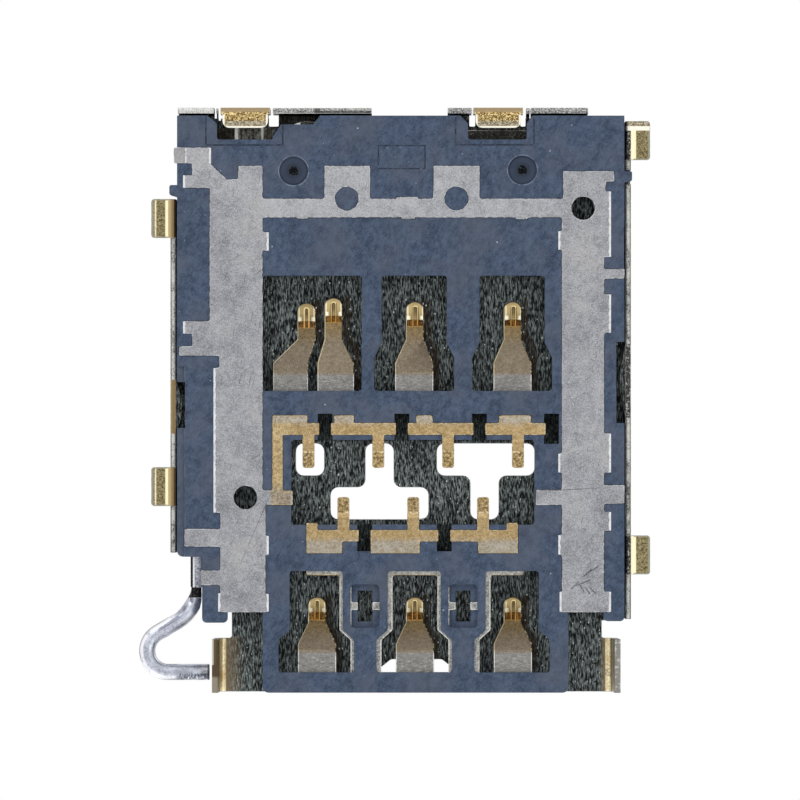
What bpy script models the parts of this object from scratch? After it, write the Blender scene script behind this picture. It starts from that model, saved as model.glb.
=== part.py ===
"""Board-mounted SIM tray socket with an eject rod.

The part stands as it is soldered: +Z away from the board, the board's top face at z = 0,
the tray mouth towards -Y. The contacts, their frame and the windows show from below.
Sizes are in millimetres and become metres where a mesh is made.
"""

import math

import bmesh
import bpy
from mathutils import Matrix, Vector

MM = 0.001
GRID = 1e-7  # metres; points are rounded to it, so that faces meant to be flush are exactly flush
ARC_STEPS = 4  # segments in a quarter turn of a small fillet
COARSE_STEPS = 2  # the same for stamped corners, which are hardly round
FINE_STEPS = 10  # the same for the wire and the contact tips
STEPPED = "MANIFOLD"  # solver for stepped outlines, where EXACT leaves cracks between corners in line

# Clearances between pieces
MOULD_FIT = 0.008  # metal let into the moulding
RUNNING_FIT = 0.04  # rod and lever in the moulding
COVER_FIT = 0.025  # moulding inside the folded cover
REAR_FIT = 0.06  # moulding to the cover's rear wall

# Cover, one folded sheet
COVER_WIDTH = 11.95
COVER_LENGTH = 15.18
COVER_HEIGHT = 1.40
COVER_SHEET = 0.15
COVER_BEND = 0.10  # inside radius of the folded walls
FOOT_BEND = 0.05  # inside radius where a solder foot turns
FOOT_MARGIN = 0.10  # flat sheet kept beyond a fold line
WALL_BOTTOM = 0.30  # lower edge of the plain walls above the board
LEFT_WALL_START = -3.96
LEFT_WALL_END = 5.21
RIGHT_WALL_START = -5.68
RIGHT_WALL_END = 7.23
SIDE_FOOT_LENGTH = 1.01
SIDE_FOOT_REACH = 0.49
SIDE_FOOT_CORNER = 0.08
LEFT_FEET_Y = (-2.24, 4.71)
RIGHT_FEET_Y = (-4.01, 6.73)
REAR_FOOT_WIDTH = 1.30
REAR_FOOT_REACH = 0.53
REAR_FOOT_CORNER = 0.24
REAR_FOOT_INSET = 0.06  # a foot is this much narrower than its wall at each side
REAR_SHOULDER = 0.17  # rear face to where the narrow foot and the relief slots begin
LEFT_REAR_FOOT_X = 4.03
RIGHT_REAR_FOOT_X = -2.53
REAR_WALL_SPANS = ((4.84, 5.785), (4.745, 4.79), (0.75, 3.32), (-1.845, -1.22), (-3.355, -3.26),
                   (-4.87, -3.38))
# Relief slots beside the rear feet: right edge, left edge, depth
RELIEF_SLOTS = ((-3.25, -3.12, 0.21), (-1.94, -1.79, 0.21), (3.18, 3.43, 0.21), (4.68, 4.74, 0.06))
RELIEF_CORNER = 0.03
FRONT_WALL_LENGTH = 1.40
LEFT_FRONT_WALL_X = 4.895  # outer face of the left solder wall at the mouth
RIGHT_FRONT_WALL_X = -5.70
FRONT_WALL_LEAN = 0.06  # lower edge of those walls outside their fold
FRONT_BEND = 0.14
FRONT_NECK_LENGTH = 0.45
NECK_CORNER = 0.12
LEFT_NECK_X = 4.40
RIGHT_NECK_X = -5.24
LEFT_SHOULDER_X = 5.05
LEFT_SHOULDER_Y = -5.45
SPRING_HEIGHT = 0.34
SPRING_CLEARANCE = 0.08  # window above and below a spring
SPRING_BOW = 0.14
SPRING_LEVEL = 0.70
SPRING_CREST = 0.20  # half of a spring's straight middle
SPRING_ROOT = 0.10  # overlap of a spring with the wall
LEFT_SPRING = (-0.876, 0.523)
RIGHT_SPRING = (-0.461, 1.464)
MOUTH_NOTCH_X = -0.41
MOUTH_NOTCH_WIDTH = 1.32
MOUTH_NOTCH_DEPTH = 0.84
MOUTH_NOTCH_FLARE = 1.05
TAIL_WINDOW_REAR = -1.13  # rear edge of the openings over the solder tails
TAIL_WINDOW_MIDDLE = -2.27
TAIL_WINDOW_FRONT = -3.10
TAIL_WINDOW_RADIUS = 0.20
TAIL_WINDOW_MARGIN = 0.21  # beside a tail
TAIL_WINDOW_BAR = 0.83  # height of the slot and of the T's bar
TAIL_WINDOW_SHIFT = -0.03  # the openings are this far off their tails
TEE_STEM_SHIFT = -0.02
TEE_SHORT = 0.05

# Moulding
STANDOFF = 0.05
FLOOR_THICKNESS = 0.45
RIB_TOP_GAP = 0.03
TRAY_ROOM_WIDTH = 10.52
TRAY_CENTRE_X = -0.34
REAR_WALL_THICKNESS = 0.20
LEFT_STEP_Y = -4.06  # front end of the full width on the rod's side
LEFT_POST_WIDTH = 0.66
POST_STEP = 0.03  # the post stands this far into the channel
LEFT_POST_FRONT = -5.77
RIGHT_POST_WIDTH = 0.54
RIGHT_POST_FRONT = -5.73
TONGUE_SETBACK = 0.005
TONGUE_ROOT = -5.50
TONGUE_LEFT_X = 3.58
TONGUE_RIGHT_X = -4.35
REAR_NOTCH_GAP = 0.085
REAR_NOTCH_DEPTH = 0.62
REAR_NOTCH_CHAMFER = 0.20
HUB_NOTCH_LEFT = 3.10
HUB_NOTCH_RIGHT = 2.27
HUB_NOTCH_DEPTH = 0.23
HUB_NOTCH_SLANT = 0.18
HUB_NOTCH_FALL = 0.32
NOTCH_CORNER = 0.06
NOTCH_EXTRA_LEFT = 0.025  # the left notch is this much narrower at its inner side
NOTCH_EXTRA_RIGHT = 0.05  # the right notch is this much wider at its inner side
LEFT_NOTCH_RUN = 0.25
RIGHT_NOTCH_RUN = 0.15
BUMP_REACH = 0.20
BUMP_LENGTH = 0.30
LEFT_BUMP_Y = 5.43
RIGHT_BUMP_Y = 5.79
SPRING_POCKET_DEPTH = 0.21
LEFT_POCKET = (-0.72, 0.472)
RIGHT_POCKET = (-0.591, 1.514)
BUMP_TAPER = 0.05
BUMP_CORNER = 0.05
TONGUE_CORNER = 0.15
POST_CORNER = 0.11
EDGE_STEP_WIDTH = 0.19
EDGE_STEP_DEPTH = 0.08
EDGE_STEP_END = 0.87
GATE_RADIUS = 0.376
GATE_DEPTH = 0.04
GATE_X = (2.78, -3.16)
GATE_Y = 5.96
RECESS_WIDTH = 0.75
RECESS_LENGTH = 1.13
RECESS_DEPTH = 0.15
RECESS_RADIUS = 0.12
RECESS_Y = -5.34
TIE_HOLE_WIDTH = 0.384
TIE_HOLE_LENGTH = 0.80
TIE_WIDTH = 0.21
TIE_LAP = 0.05
TIE_SHIFT = 0.025  # tie holes off the middle between two windows

# Contact field
CONTACT_PITCH = 2.54
CONTACT_CENTRE_X = -0.37
METAL_SHEET = 0.12
RAMP_START = 0.02  # a flat starts to rise this far inside its visible edge
RAMP_RUN = 0.20
TAIL_RAMP_START = 0.10
TAIL_RAMP_END = 0.22
TAIL_CORNER = 0.07
TIP_ROUNDNESS = 0.97  # corner radius to half of a tip's width
BEAM_BEND = 0.18
CREST_FALL_START = 0.14
CREST_SAG = 0.06
ROOT_LEVEL = 0.20  # underside of the metal where it is buried
CREST_LEVEL = 0.92  # top of a free contact
DOME_WIDTH = 0.47
ROOT_WIDTH = 0.99
WINDOW_RADIUS = 0.08
WINDOW_SHIFT = 0.02  # windows off their contacts
PUNCH_LAP = 0.20  # punched holes run this far into the middle opening
REAR_WINDOW_WIDTH = 1.69
REAR_WINDOW_FLARE = 0.19
REAR_WINDOW_REAR = 3.23
REAR_WINDOW_FRONT = 0.24
REAR_FLARE_REAR = 1.49
REAR_FLARE_FRONT = 1.10
DETECT_WINDOW_LEFT = 3.58
DETECT_WINDOW_RIGHT = 1.01
DETECT_SPLIT = 0.70
DETECT_OFFSET = -0.075
FRONT_WINDOW_WIDTH = 1.38
FRONT_WINDOW_FLARE = 0.29
FRONT_WINDOW_REAR = -4.43
FRONT_WINDOW_FRONT = -7.06
FRONT_FLARE_REAR = -5.96
FRONT_FLARE_FRONT = -6.22
MIDDLE_LEFT = 2.84
MIDDLE_RIGHT = -3.47
MIDDLE_REAR = -1.03
MIDDLE_FRONT = -3.23
REAR_BEND_Y = 0.67
REAR_CREST_Y = 2.02
REAR_TIP_Y = 2.56
TIP_SHIFTS = (-0.04, 0.10, 0.0, 0.0)  # rear tips, from the rod's side
REAR_SLANT_Y = 0.964
REAR_NECK_Y = 1.58
NECK_LENGTH_REAR = 0.30
NECK_LAP = 0.18
REAR_ROOT_OFFSETS = (0.41, -0.06, 0.02, 0.01)
REAR_ROOT_WIDTHS = (0.90, 0.95, 0.99, 0.99)
FRONT_BEND_Y = -6.55
FRONT_CREST_Y = -5.62
FRONT_TIP_Y = -5.11
FRONT_SLANT_Y = -6.32
FRONT_NECK_Y = -5.78
TIP_DROP = 0.24
LOOP_RIM = 0.11  # loop metal standing in the window
LOOP_BURIED = 0.20
LOOP_FOOT = 0.28  # buried bar that carries a front contact's root
LOOP_FREE_END = -0.28
LOOP_LAP = 0.10  # the crossbar runs this far under the root
TAIL_PITCH = 1.81
FIRST_REAR_TAIL_X = 2.39
TAIL_WIDTH = 0.31
REAR_TAIL_END = -1.757
FRONT_TAIL_END = -2.51
FRONT_TAIL_FLAT = 0.40
REAR_FLAT_REAR = -0.397
REAR_FLAT_STEP = -0.59
REAR_FLAT_FRONT = -0.90
# Left and right edges of the rear flats' upper parts
REAR_FLAT_STEPS = ((3.33, 2.42), (1.73, 1.21), (-0.40, -0.83), (-2.55, -3.38))
FRONT_FLAT_REAR = -3.364
FRONT_FLAT_STEP = -3.663
FRONT_FLAT_FRONT = -3.961
FRONT_FLAT_LEFT = 2.45  # outer end of the first front flat
FRONT_FLAT_RIGHT = -3.04  # outer end of the last one
FIRST_BLOCK_SHORT = 0.42  # the blocks end this far inside their flats
SECOND_BLOCK_SHORT = 0.48
THIRD_BLOCK_SHORT = 0.72
EAR_WIDTH = 0.295
EAR_HEIGHT = 0.18
FLAT_GAP = 0.31
NECK_INSET = 0.03  # buried neck to the flat's own edges
PUNCH_WIDTH = 0.385
REAR_PUNCH_X = (1.96, -0.03, -2.04, -3.91)
FRONT_PUNCH_X = (0.935, -1.13)
PUNCH_REAR = -0.35
PUNCH_FRONT = -3.92
LAST_PUNCH_FRONT = -1.13

# Ground frame
FRAME_HOLE_RADIUS = 0.305
FRAME_BAR_REAR = 5.228
FRAME_BAR_FRONT = 4.736
FRAME_REAR_EDGE = 6.08
FRAME_FRONT_EDGE = -5.498
FRAME_CORNER = 0.035
LEFT_RAIL_INNER = 3.58
LEFT_RAIL_FRONT_INNER = 3.504
LEFT_RAIL_NUB = 3.425
RIGHT_RAIL_INNER = -4.176
RIGHT_RAIL_NUB = -4.09
RIGHT_RAIL_OUTER = -5.275
RIGHT_RAIL_WIDE = -5.45
RIGHT_FOOT_INNER = -4.124
RIGHT_SQUARE_X = -4.209
RIGHT_TAB_REAR = 5.94
LEFT_TAB_REAR = 6.555
LEFT_TAB_INNER = 4.92
LEFT_SLANT_REAR = 6.12
LEFT_SLANT_FRONT = 5.73
LEFT_SLANT_END = 4.51
LEFT_SQUARE_X = 4.215
FRAME_SQUARES_X = ((1.983, 0.791), (-0.842, -2.053))
FRAME_BUMPS_X = ((-3.286, -2.975), (-0.37, -0.03), (2.403, 2.688))
FRAME_REAR_BUMP_X = (0.10, -0.45)  # on the bar's rear edge, between the squares
FRAME_BUMP = 0.045
FRAME_CROSS_REAR = -2.34
FRAME_CROSS_FRONT = -2.72
FRAME_CROSS_LEFT = 2.80
FRAME_CROSS_RIGHT = -3.50
FRAME_LINK_X = 3.33  # outer edge of the link to the first rear contact
FRAME_LINK_WIDTH = 0.272
# Edges of the rails: x of each stretch and the y where it ends. The outer edge on the rod's side runs
# from the front to the rear, the one on the other side from the rear to the front.
LEFT_OUTER_STEPS = (
    (4.73, -5.00), (4.68, -4.80), (5.19, -4.41), (4.68, -3.80), (5.61, -3.335), (4.68, -2.92),
    (4.85, 0.84), (4.71, 1.15), (5.75, 1.40), (5.415, 1.72), (5.64, 2.05), (4.956, 5.50),
    (5.64, 5.835), (5.415, 6.14), (5.884, LEFT_TAB_REAR),
)
RIGHT_OUTER_STEPS = (
    (-5.54, 5.67), (-5.316, 5.42), (RIGHT_RAIL_WIDE, 3.71), (RIGHT_RAIL_OUTER, 3.41), (-5.80, 3.15),
    (RIGHT_RAIL_OUTER, 2.75), (RIGHT_RAIL_WIDE, 1.74), (RIGHT_RAIL_OUTER, -0.86),
    (RIGHT_RAIL_WIDE, -1.88), (RIGHT_RAIL_OUTER, -2.20), (-5.80, -2.685), (RIGHT_RAIL_OUTER, -2.89),
    (RIGHT_RAIL_WIDE, -3.39), (RIGHT_RAIL_OUTER, -4.96), (RIGHT_RAIL_WIDE, FRAME_FRONT_EDGE),
)
# Inner edges, from the front to the rear and then from the rear to the front
RIGHT_INNER_STEPS = (
    (RIGHT_FOOT_INNER, -4.96), (RIGHT_RAIL_INNER, -4.01), (RIGHT_RAIL_NUB, -3.49),
    (RIGHT_RAIL_INNER, FRAME_CROSS_FRONT), (FRAME_CROSS_RIGHT, -2.32), (RIGHT_RAIL_INNER, -1.88),
    (RIGHT_RAIL_NUB, -1.38), (RIGHT_RAIL_INNER, 3.89), (RIGHT_RAIL_NUB, 4.39),
    (RIGHT_RAIL_INNER, FRAME_BAR_FRONT),
)
LEFT_INNER_REAR_STEPS = (
    (LEFT_RAIL_INNER, 4.36), (LEFT_RAIL_NUB, 3.87), (LEFT_RAIL_INNER, FRAME_CROSS_REAR),
)
LEFT_INNER_FRONT_STEPS = (
    (FRAME_CROSS_LEFT, FRAME_CROSS_FRONT), (LEFT_RAIL_FRONT_INNER, -3.515), (LEFT_RAIL_NUB, -4.01),
    (LEFT_RAIL_FRONT_INNER, -5.016), (LEFT_RAIL_NUB, FRAME_FRONT_EDGE),
)
FRAME_PLUG_X = (1.397, -1.446)
LEFT_PILOT_HOLE = (4.025, -2.522)
RIGHT_PILOT_HOLE = (-4.73, 4.977)
PILOT_DEPTH = 0.60

# Rod and lever
ROD_X = 5.31
ROD_LEVEL = 0.80
ROD_WIDTH = 0.30
ROD_HEIGHT = 0.42
WIRE_RADIUS = 0.21
SHANK_CORNER = 0.10
FINGER_CORNER = 0.05
NECK_WIDTH = 0.26
NECK_SLOPE = 0.02
ROD_NECK_Y = -4.99
NECK_LENGTH = 0.30
HOOK_START_Y = -4.88  # inside the neck
HOOK_TAPER = (0.60, 0.72, 0.86)  # share of the wire's radius over its first points
HOOK_CORNER_Y = -5.459
HOOK_CORNER_RADIUS = 1.00
HOOK_TURN_X = 6.681  # the turn's upper corner; the lower one lies on the arm
HOOK_TURN_Y = -6.258
HOOK_TURN_END_X = 6.463
HOOK_TURN_RADIUS = 0.545
HOOK_ARM_Y = -7.066
HOOK_GAP = 0.075  # arm's end to the cover's front wall
FINGER_END_X = 4.70
PIVOT_X = 2.43
PIVOT_Y = 6.46
FINGER_BEHIND = 0.70  # finger's centre in front of the pivot at rest
LEVER_SHEET = 0.24
HUB_RADIUS = 0.80
POST_RADIUS = 0.28
SEAT_RIM = 0.25
SEAT_FIT = 0.02
SHORT_ARM = 2.52  # pivot to the finger
SHORT_ARM_END = 0.13
SHORT_ARM_HALF = 0.40
NOTCH_DEPTH = 0.50
NOTCH_SLACK = 0.05
LONG_ARM = 5.90
LONG_ARM_RISE = 2.3  # degrees behind straight across
LONG_ARM_ROOT_HALF = 0.55
LONG_ARM_TIP_HALF = 0.32
ARM_ROOT = 0.50  # the arms' edges start this far from the pivot
SHORT_ARM_ROOT_HALF = 0.45
SHORT_ARM_NECK = 0.30  # the short arm is full width this far behind its notch
ARM_NECK_RADIUS = 0.30
ARM_CORNER_RADIUS = 0.08
NOTCH_MOUTH_RADIUS = 0.05
LONG_ARM_ROOT_RADIUS = 0.20
LONG_ARM_TIP_RADIUS = 0.25

# Colour, metallic and roughness of the materials
PLASTIC_LOOK = ((0.075, 0.11, 0.19), 0.0, 0.55)
TIN_LOOK = ((0.55, 0.55, 0.55), 0.8, 0.45)
GOLD_LOOK = ((0.62, 0.47, 0.24), 1.0, 0.35)
STEEL_LOOK = ((0.35, 0.34, 0.30), 1.0, 0.35)
WIRE_LOOK = ((0.62, 0.62, 0.66), 1.0, 0.25)

# Worked out from the sizes above
HALF_WIDTH = COVER_WIDTH / 2
HALF_LENGTH = COVER_LENGTH / 2
INNER_HALF = HALF_WIDTH - COVER_SHEET - COVER_FIT
HOUSING_REAR = HALF_LENGTH - COVER_SHEET - REAR_FIT
HOUSING_FRONT = -HALF_LENGTH + TONGUE_SETBACK
FLOOR_TOP = STANDOFF + FLOOR_THICKNESS
CEILING = COVER_HEIGHT - COVER_SHEET
RIB_TOP = CEILING - RIB_TOP_GAP
TRAY_LEFT = TRAY_CENTRE_X + TRAY_ROOM_WIDTH / 2
TRAY_RIGHT = TRAY_CENTRE_X - TRAY_ROOM_WIDTH / 2
CHANNEL_OUTER = ROD_X + ROD_WIDTH / 2 + RUNNING_FIT
CHANNEL_INNER = ROD_X - ROD_WIDTH / 2 - RUNNING_FIT
LEVER_ROOM_REAR = HOUSING_REAR - REAR_WALL_THICKNESS
FINGER_Y = PIVOT_Y - FINGER_BEHIND
LEVER_ROOM_FRONT = FINGER_Y - SHORT_ARM_HALF - 3 * RUNNING_FIT
LEVER_REST = -math.asin(FINGER_BEHIND / SHORT_ARM)
BEND_OUTER = COVER_BEND + COVER_SHEET
COLUMNS = tuple(CONTACT_CENTRE_X + CONTACT_PITCH * step for step in (1, 0, -1))
FLAT_MIDDLE = STANDOFF + METAL_SHEET / 2
ROOT_MIDDLE = ROOT_LEVEL + METAL_SHEET / 2
OVERSHOOT = 0.5  # how far a cutter runs past the face it opens
OVERRUN = 0.15  # how far a side view runs past the plan that trims it
LAP = 0.10  # how far two joined solids run into each other


def clear_scene():
    """Remove every object of the open file."""
    for item in list(bpy.data.objects):
        bpy.data.objects.remove(item, do_unlink=True)


def make_collection(name):
    """Add a collection to the scene."""
    collection = bpy.data.collections.new(name)
    bpy.context.scene.collection.children.link(collection)
    return collection


def make_material(name, colour, metallic, roughness):
    """Principled material with one colour."""
    material = bpy.data.materials.new(name)
    material.use_nodes = True
    shader = material.node_tree.nodes["Principled BSDF"]
    shader.inputs["Base Color"].default_value = (*colour, 1.0)
    shader.inputs["Metallic"].default_value = metallic
    shader.inputs["Roughness"].default_value = roughness
    return material


def arc_points(before, here, after, radius, quarter):
    """Points of the arc that rounds one corner, or the corner itself."""
    if radius <= 0:
        return [here]
    back = before - here
    ahead = after - here
    angle = back.angle(ahead)
    if math.pi - angle < 1e-4:
        return [here]
    reach = min(radius / math.tan(angle / 2), back.length * 0.49, ahead.length * 0.49)
    radius = reach * math.tan(angle / 2)
    back.normalize()
    ahead.normalize()
    centre = here + (back + ahead).normalized() * (radius / math.sin(angle / 2))
    start = here + back * reach - centre
    turn = math.pi - angle
    if start.cross(here + ahead * reach - centre) < 0:
        turn = -turn
    steps = max(2, round(quarter * abs(turn) / (math.pi / 2)))
    return [centre + Matrix.Rotation(turn * k / steps, 2) @ start for k in range(steps + 1)]


def rounded(corners, radius=0.0, closed=True, quarter=ARC_STEPS):
    """Outline through corners given as (x, y) or (x, y, own radius); quarter is segments to 90 degrees."""
    points = [Vector(corner[:2]) for corner in corners]
    count = len(points)
    outline = []
    for index, corner in enumerate(corners):
        own = corner[2] if len(corner) > 2 else radius
        if not closed and index in (0, count - 1):
            own = 0.0
        before = points[index - 1]
        after = points[(index + 1) % count]
        outline.extend(arc_points(before, points[index], after, own, quarter))
    return outline


def box_outline(x0, x1, y0, y1, radius=0.0):
    """Rectangle between two corners, with round corners if asked."""
    return rounded([(x0, y0), (x1, y0), (x1, y1), (x0, y1)], radius)


def circle_outline(x, y, radius, steps=24):
    """Circle as a closed outline."""
    turns = [math.tau * k / steps for k in range(steps)]
    return [Vector((x + radius * math.cos(a), y + radius * math.sin(a))) for a in turns]


def grown(outline, gap):
    """Outline set off outwards by a gap, with mitred corners."""
    if gap == 0:
        return outline
    count = len(outline)
    pairs = [(outline[k], outline[(k + 1) % count]) for k in range(count)]
    area = sum(a.x * b.y - b.x * a.y for a, b in pairs)
    sign = 1 if area > 0 else -1
    result = []
    for index, here in enumerate(outline):
        first = (here - outline[index - 1]).normalized()
        second = (outline[(index + 1) % count] - here).normalized()
        normal_a = Vector((first.y, -first.x)) * sign
        normal_b = Vector((second.y, -second.x)) * sign
        mitre = normal_a + normal_b
        result.append(here + mitre * (gap / max(0.25, 1 + normal_a.dot(normal_b))))
    return result


def sheet_outline(centre_line, thickness, extra=0.0):
    """Closed outline of a bent sheet: its centre line set off to both sides, ends drawn out by extra."""
    points = [Vector(p[:2]) for p in centre_line]
    points[0] = points[0] + (points[0] - points[1]).normalized() * extra
    points[-1] = points[-1] + (points[-1] - points[-2]).normalized() * extra
    last = len(points) - 1
    left, right = [], []
    for index, here in enumerate(points):
        first = (here - points[max(index - 1, 0)]).normalized()
        second = (points[min(index + 1, last)] - here).normalized()
        first = second if index == 0 else first
        second = first if index == last else second
        normal_a = Vector((-first.y, first.x))
        normal_b = Vector((-second.y, second.x))
        offset = (normal_a + normal_b) * (thickness / 2 / (1 + normal_a.dot(normal_b)))
        left.append(here + offset)
        right.append(here - offset)
    return left + right[::-1]


# Where a flat outline's own x, y and thickness point
PLACED = {
    "Z": Matrix.Identity(4),
    "X": Matrix(((0, 0, 1, 0), (1, 0, 0, 0), (0, 1, 0, 0), (0, 0, 0, 1))),
    "Y": Matrix(((1, 0, 0, 0), (0, 0, -1, 0), (0, 1, 0, 0), (0, 0, 0, 1))),
}


class Workshop:
    """Makes the solids and files them in the part's or the cutters' collection."""

    def __init__(self):
        self.part = make_collection("sim_card_socket")
        self.cutters = make_collection("cutters")
        self.count = 0

    def adopt_curve(self, curve, name, turn):
        """Turn a curve into a welded mesh object among the cutters."""
        source = bpy.data.objects.new(name + "_curve", curve)
        self.cutters.objects.link(source)
        bpy.context.view_layer.update()
        depsgraph = bpy.context.evaluated_depsgraph_get()
        mesh = bpy.data.meshes.new_from_object(source.evaluated_get(depsgraph))
        bpy.data.objects.remove(source, do_unlink=True)
        mesh.transform(turn)
        work = bmesh.new()
        work.from_mesh(mesh)
        for vertex in work.verts:
            vertex.co = [round(value / GRID) * GRID for value in vertex.co]
        bmesh.ops.remove_doubles(work, verts=work.verts, dist=GRID / 2)
        bmesh.ops.dissolve_limit(work, angle_limit=0.002, verts=work.verts, edges=work.edges)
        bmesh.ops.recalc_face_normals(work, faces=work.faces)
        work.to_mesh(mesh)
        work.free()
        item = bpy.data.objects.new(name, mesh)
        self.cutters.objects.link(item)
        item.hide_render = True
        item.display_type = "WIRE"
        return item

    def flat(self, loops, low, high, axis="Z", name="shape"):
        """Solid of a flat outline, with any holes, between two levels along an axis."""
        self.count += 1
        curve = bpy.data.curves.new(name, "CURVE")
        curve.dimensions = "2D"
        curve.fill_mode = "BOTH"
        curve.extrude = (high - low) / 2 * MM
        for loop in loops:
            spline = curve.splines.new("POLY")
            spline.points.add(len(loop) - 1)
            for point, place in zip(spline.points, loop):
                point.co = (place[0] * MM, place[1] * MM, 0, 1)
            spline.use_cyclic_u = True
        shift = {"Z": (0, 0, 1), "X": (1, 0, 0), "Y": (0, 1, 0)}[axis]
        middle = Vector(shift) * ((low + high) / 2 * MM)
        turn = Matrix.Translation(middle) @ PLACED[axis]
        return self.adopt_curve(curve, f"{name}_{self.count:03d}", turn)

    def wire(self, path, radius, level, taper, name="wire"):
        """Round wire along a flat path at one level; taper is the share of its radius at its first points."""
        self.count += 1
        curve = bpy.data.curves.new(name, "CURVE")
        curve.dimensions = "3D"
        curve.bevel_depth = radius * MM
        curve.bevel_resolution = 4
        curve.use_fill_caps = True
        spline = curve.splines.new("POLY")
        spline.points.add(len(path) - 1)
        for point, place in zip(spline.points, path):
            point.co = (place[0] * MM, place[1] * MM, level * MM, 1)
        for point, share in zip(spline.points, taper):
            point.radius = share
        return self.adopt_curve(curve, f"{name}_{self.count:03d}", Matrix.Identity(4))

    def combine(self, body, operation, tools, solver="EXACT"):
        """Add one Boolean modifier for each tool."""
        for tool in tools:
            modifier = body.modifiers.new(tool.name, "BOOLEAN")
            modifier.operation = operation
            modifier.solver = solver
            modifier.object = tool
        return body

    def publish(self, item, name, material, empty, origin=(0, 0, 0)):
        """Make a finished solid one of the part's own objects, with its origin where it turns."""
        place = Vector(origin) * MM
        item.data.transform(Matrix.Translation(-place))
        item.location = place
        item.name = name
        item.data.name = name
        item.data.materials.append(material)
        item.hide_render = False
        item.display_type = "TEXTURED"
        self.cutters.objects.unlink(item)
        self.part.objects.link(item)
        item.parent = empty
        return item


def contact_width_outline(root_x, root_half, dome_x, start, slant, neck, tip):
    """Plan of one contact beam: wide root, slanted shoulders, narrow round-ended tip."""
    half = DOME_WIDTH / 2
    return rounded([
        (root_x + root_half, start),
        (root_x + root_half, slant),
        (dome_x + half, neck),
        (dome_x + half, tip, half * TIP_ROUNDNESS),
        (dome_x - half, tip, half * TIP_ROUNDNESS),
        (dome_x - half, neck),
        (root_x - root_half, slant),
        (root_x - root_half, start),
    ], quarter=FINE_STEPS)


def beam_line(start, bend, crest, tip):
    """Side view of a contact beam: level root, rising spring, rounded crest, falling tip."""
    top = CREST_LEVEL - METAL_SHEET / 2
    return [
        (start, ROOT_MIDDLE),
        (bend, ROOT_MIDDLE, BEAM_BEND),
        (crest - CREST_FALL_START, top - CREST_SAG, BEAM_BEND),
        (crest + CREST_FALL_START / 2, top + CREST_SAG / 4, BEAM_BEND),
        (tip - CREST_SAG, top - TIP_DROP, 0.0),
    ]


def rear_sheet_line(shift):
    """Side view of a rear terminal: soldered tail, flat, buried step, beam with its tip shifted."""
    return rounded([
        (REAR_TAIL_END, METAL_SHEET / 2),
        (REAR_FLAT_FRONT - TAIL_RAMP_END, METAL_SHEET / 2),
        (REAR_FLAT_FRONT - TAIL_RAMP_START, FLAT_MIDDLE),
        (REAR_FLAT_REAR - RAMP_START, FLAT_MIDDLE),
        (REAR_FLAT_REAR - RAMP_START + RAMP_RUN, ROOT_MIDDLE),
        *beam_line(REAR_WINDOW_FRONT, REAR_BEND_Y, REAR_CREST_Y + shift, REAR_TIP_Y + shift),
    ], closed=False)


def front_sheet_line():
    """Side view of a front terminal's flat, its tail and its buried loop."""
    return rounded([
        (FRONT_TAIL_END, METAL_SHEET / 2),
        (FRONT_TAIL_END - FRONT_TAIL_FLAT, METAL_SHEET / 2),
        (FRONT_TAIL_END - FRONT_TAIL_FLAT - TAIL_RAMP_END + TAIL_RAMP_START, FLAT_MIDDLE),
        (FRONT_FLAT_FRONT + RAMP_START, FLAT_MIDDLE),
        (FRONT_FLAT_FRONT + RAMP_START - RAMP_RUN, ROOT_MIDDLE),
        (FRONT_WINDOW_FRONT - LOOP_FOOT, ROOT_MIDDLE),
    ], closed=False)


def bent_piece(shop, plans, side_line, gap, name):
    """Sheet metal with given plans, bent along a side view, grown by a gap when it is a cutter."""
    solids = [shop.flat([grown(plan, gap)], -OVERSHOOT, COVER_HEIGHT, "Z", name) for plan in plans]
    shop.combine(solids[0], "UNION", solids[1:], STEPPED)
    profile = sheet_outline(side_line, METAL_SHEET + 2 * gap, OVERRUN)
    ribbon = shop.flat([profile], -HALF_WIDTH, HALF_WIDTH, "X", name + "_side")
    return shop.combine(solids[0], "INTERSECT", [ribbon], STEPPED)


def rear_terminal_plan(tail_x, left, right, step_left, step_right, root_x, root_half, dome_x, shift):
    """Plan of a rear terminal from its tail to its contact tip."""
    neck_rear = REAR_FLAT_REAR + NECK_LENGTH_REAR
    beam = contact_width_outline(root_x, root_half, dome_x, neck_rear - NECK_LAP, REAR_SLANT_Y,
                                 REAR_NECK_Y, REAR_TIP_Y + shift)
    half = TAIL_WIDTH / 2
    flat = rounded([
        (tail_x + half, REAR_TAIL_END, TAIL_CORNER),
        (tail_x + half, REAR_FLAT_FRONT),
        (left, REAR_FLAT_FRONT),
        (left, REAR_FLAT_STEP),
        (step_left, REAR_FLAT_STEP),
        (step_left, REAR_FLAT_REAR),
        (step_left - NECK_INSET, REAR_FLAT_REAR),
        (step_left - NECK_INSET, neck_rear),
        (step_right + NECK_INSET, neck_rear),
        (step_right + NECK_INSET, REAR_FLAT_REAR),
        (step_right, REAR_FLAT_REAR),
        (step_right, REAR_FLAT_STEP),
        (right, REAR_FLAT_STEP),
        (right, REAR_FLAT_FRONT),
        (tail_x - half, REAR_FLAT_FRONT),
        (tail_x - half, REAR_TAIL_END, TAIL_CORNER),
    ])
    return [flat, beam]


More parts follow.
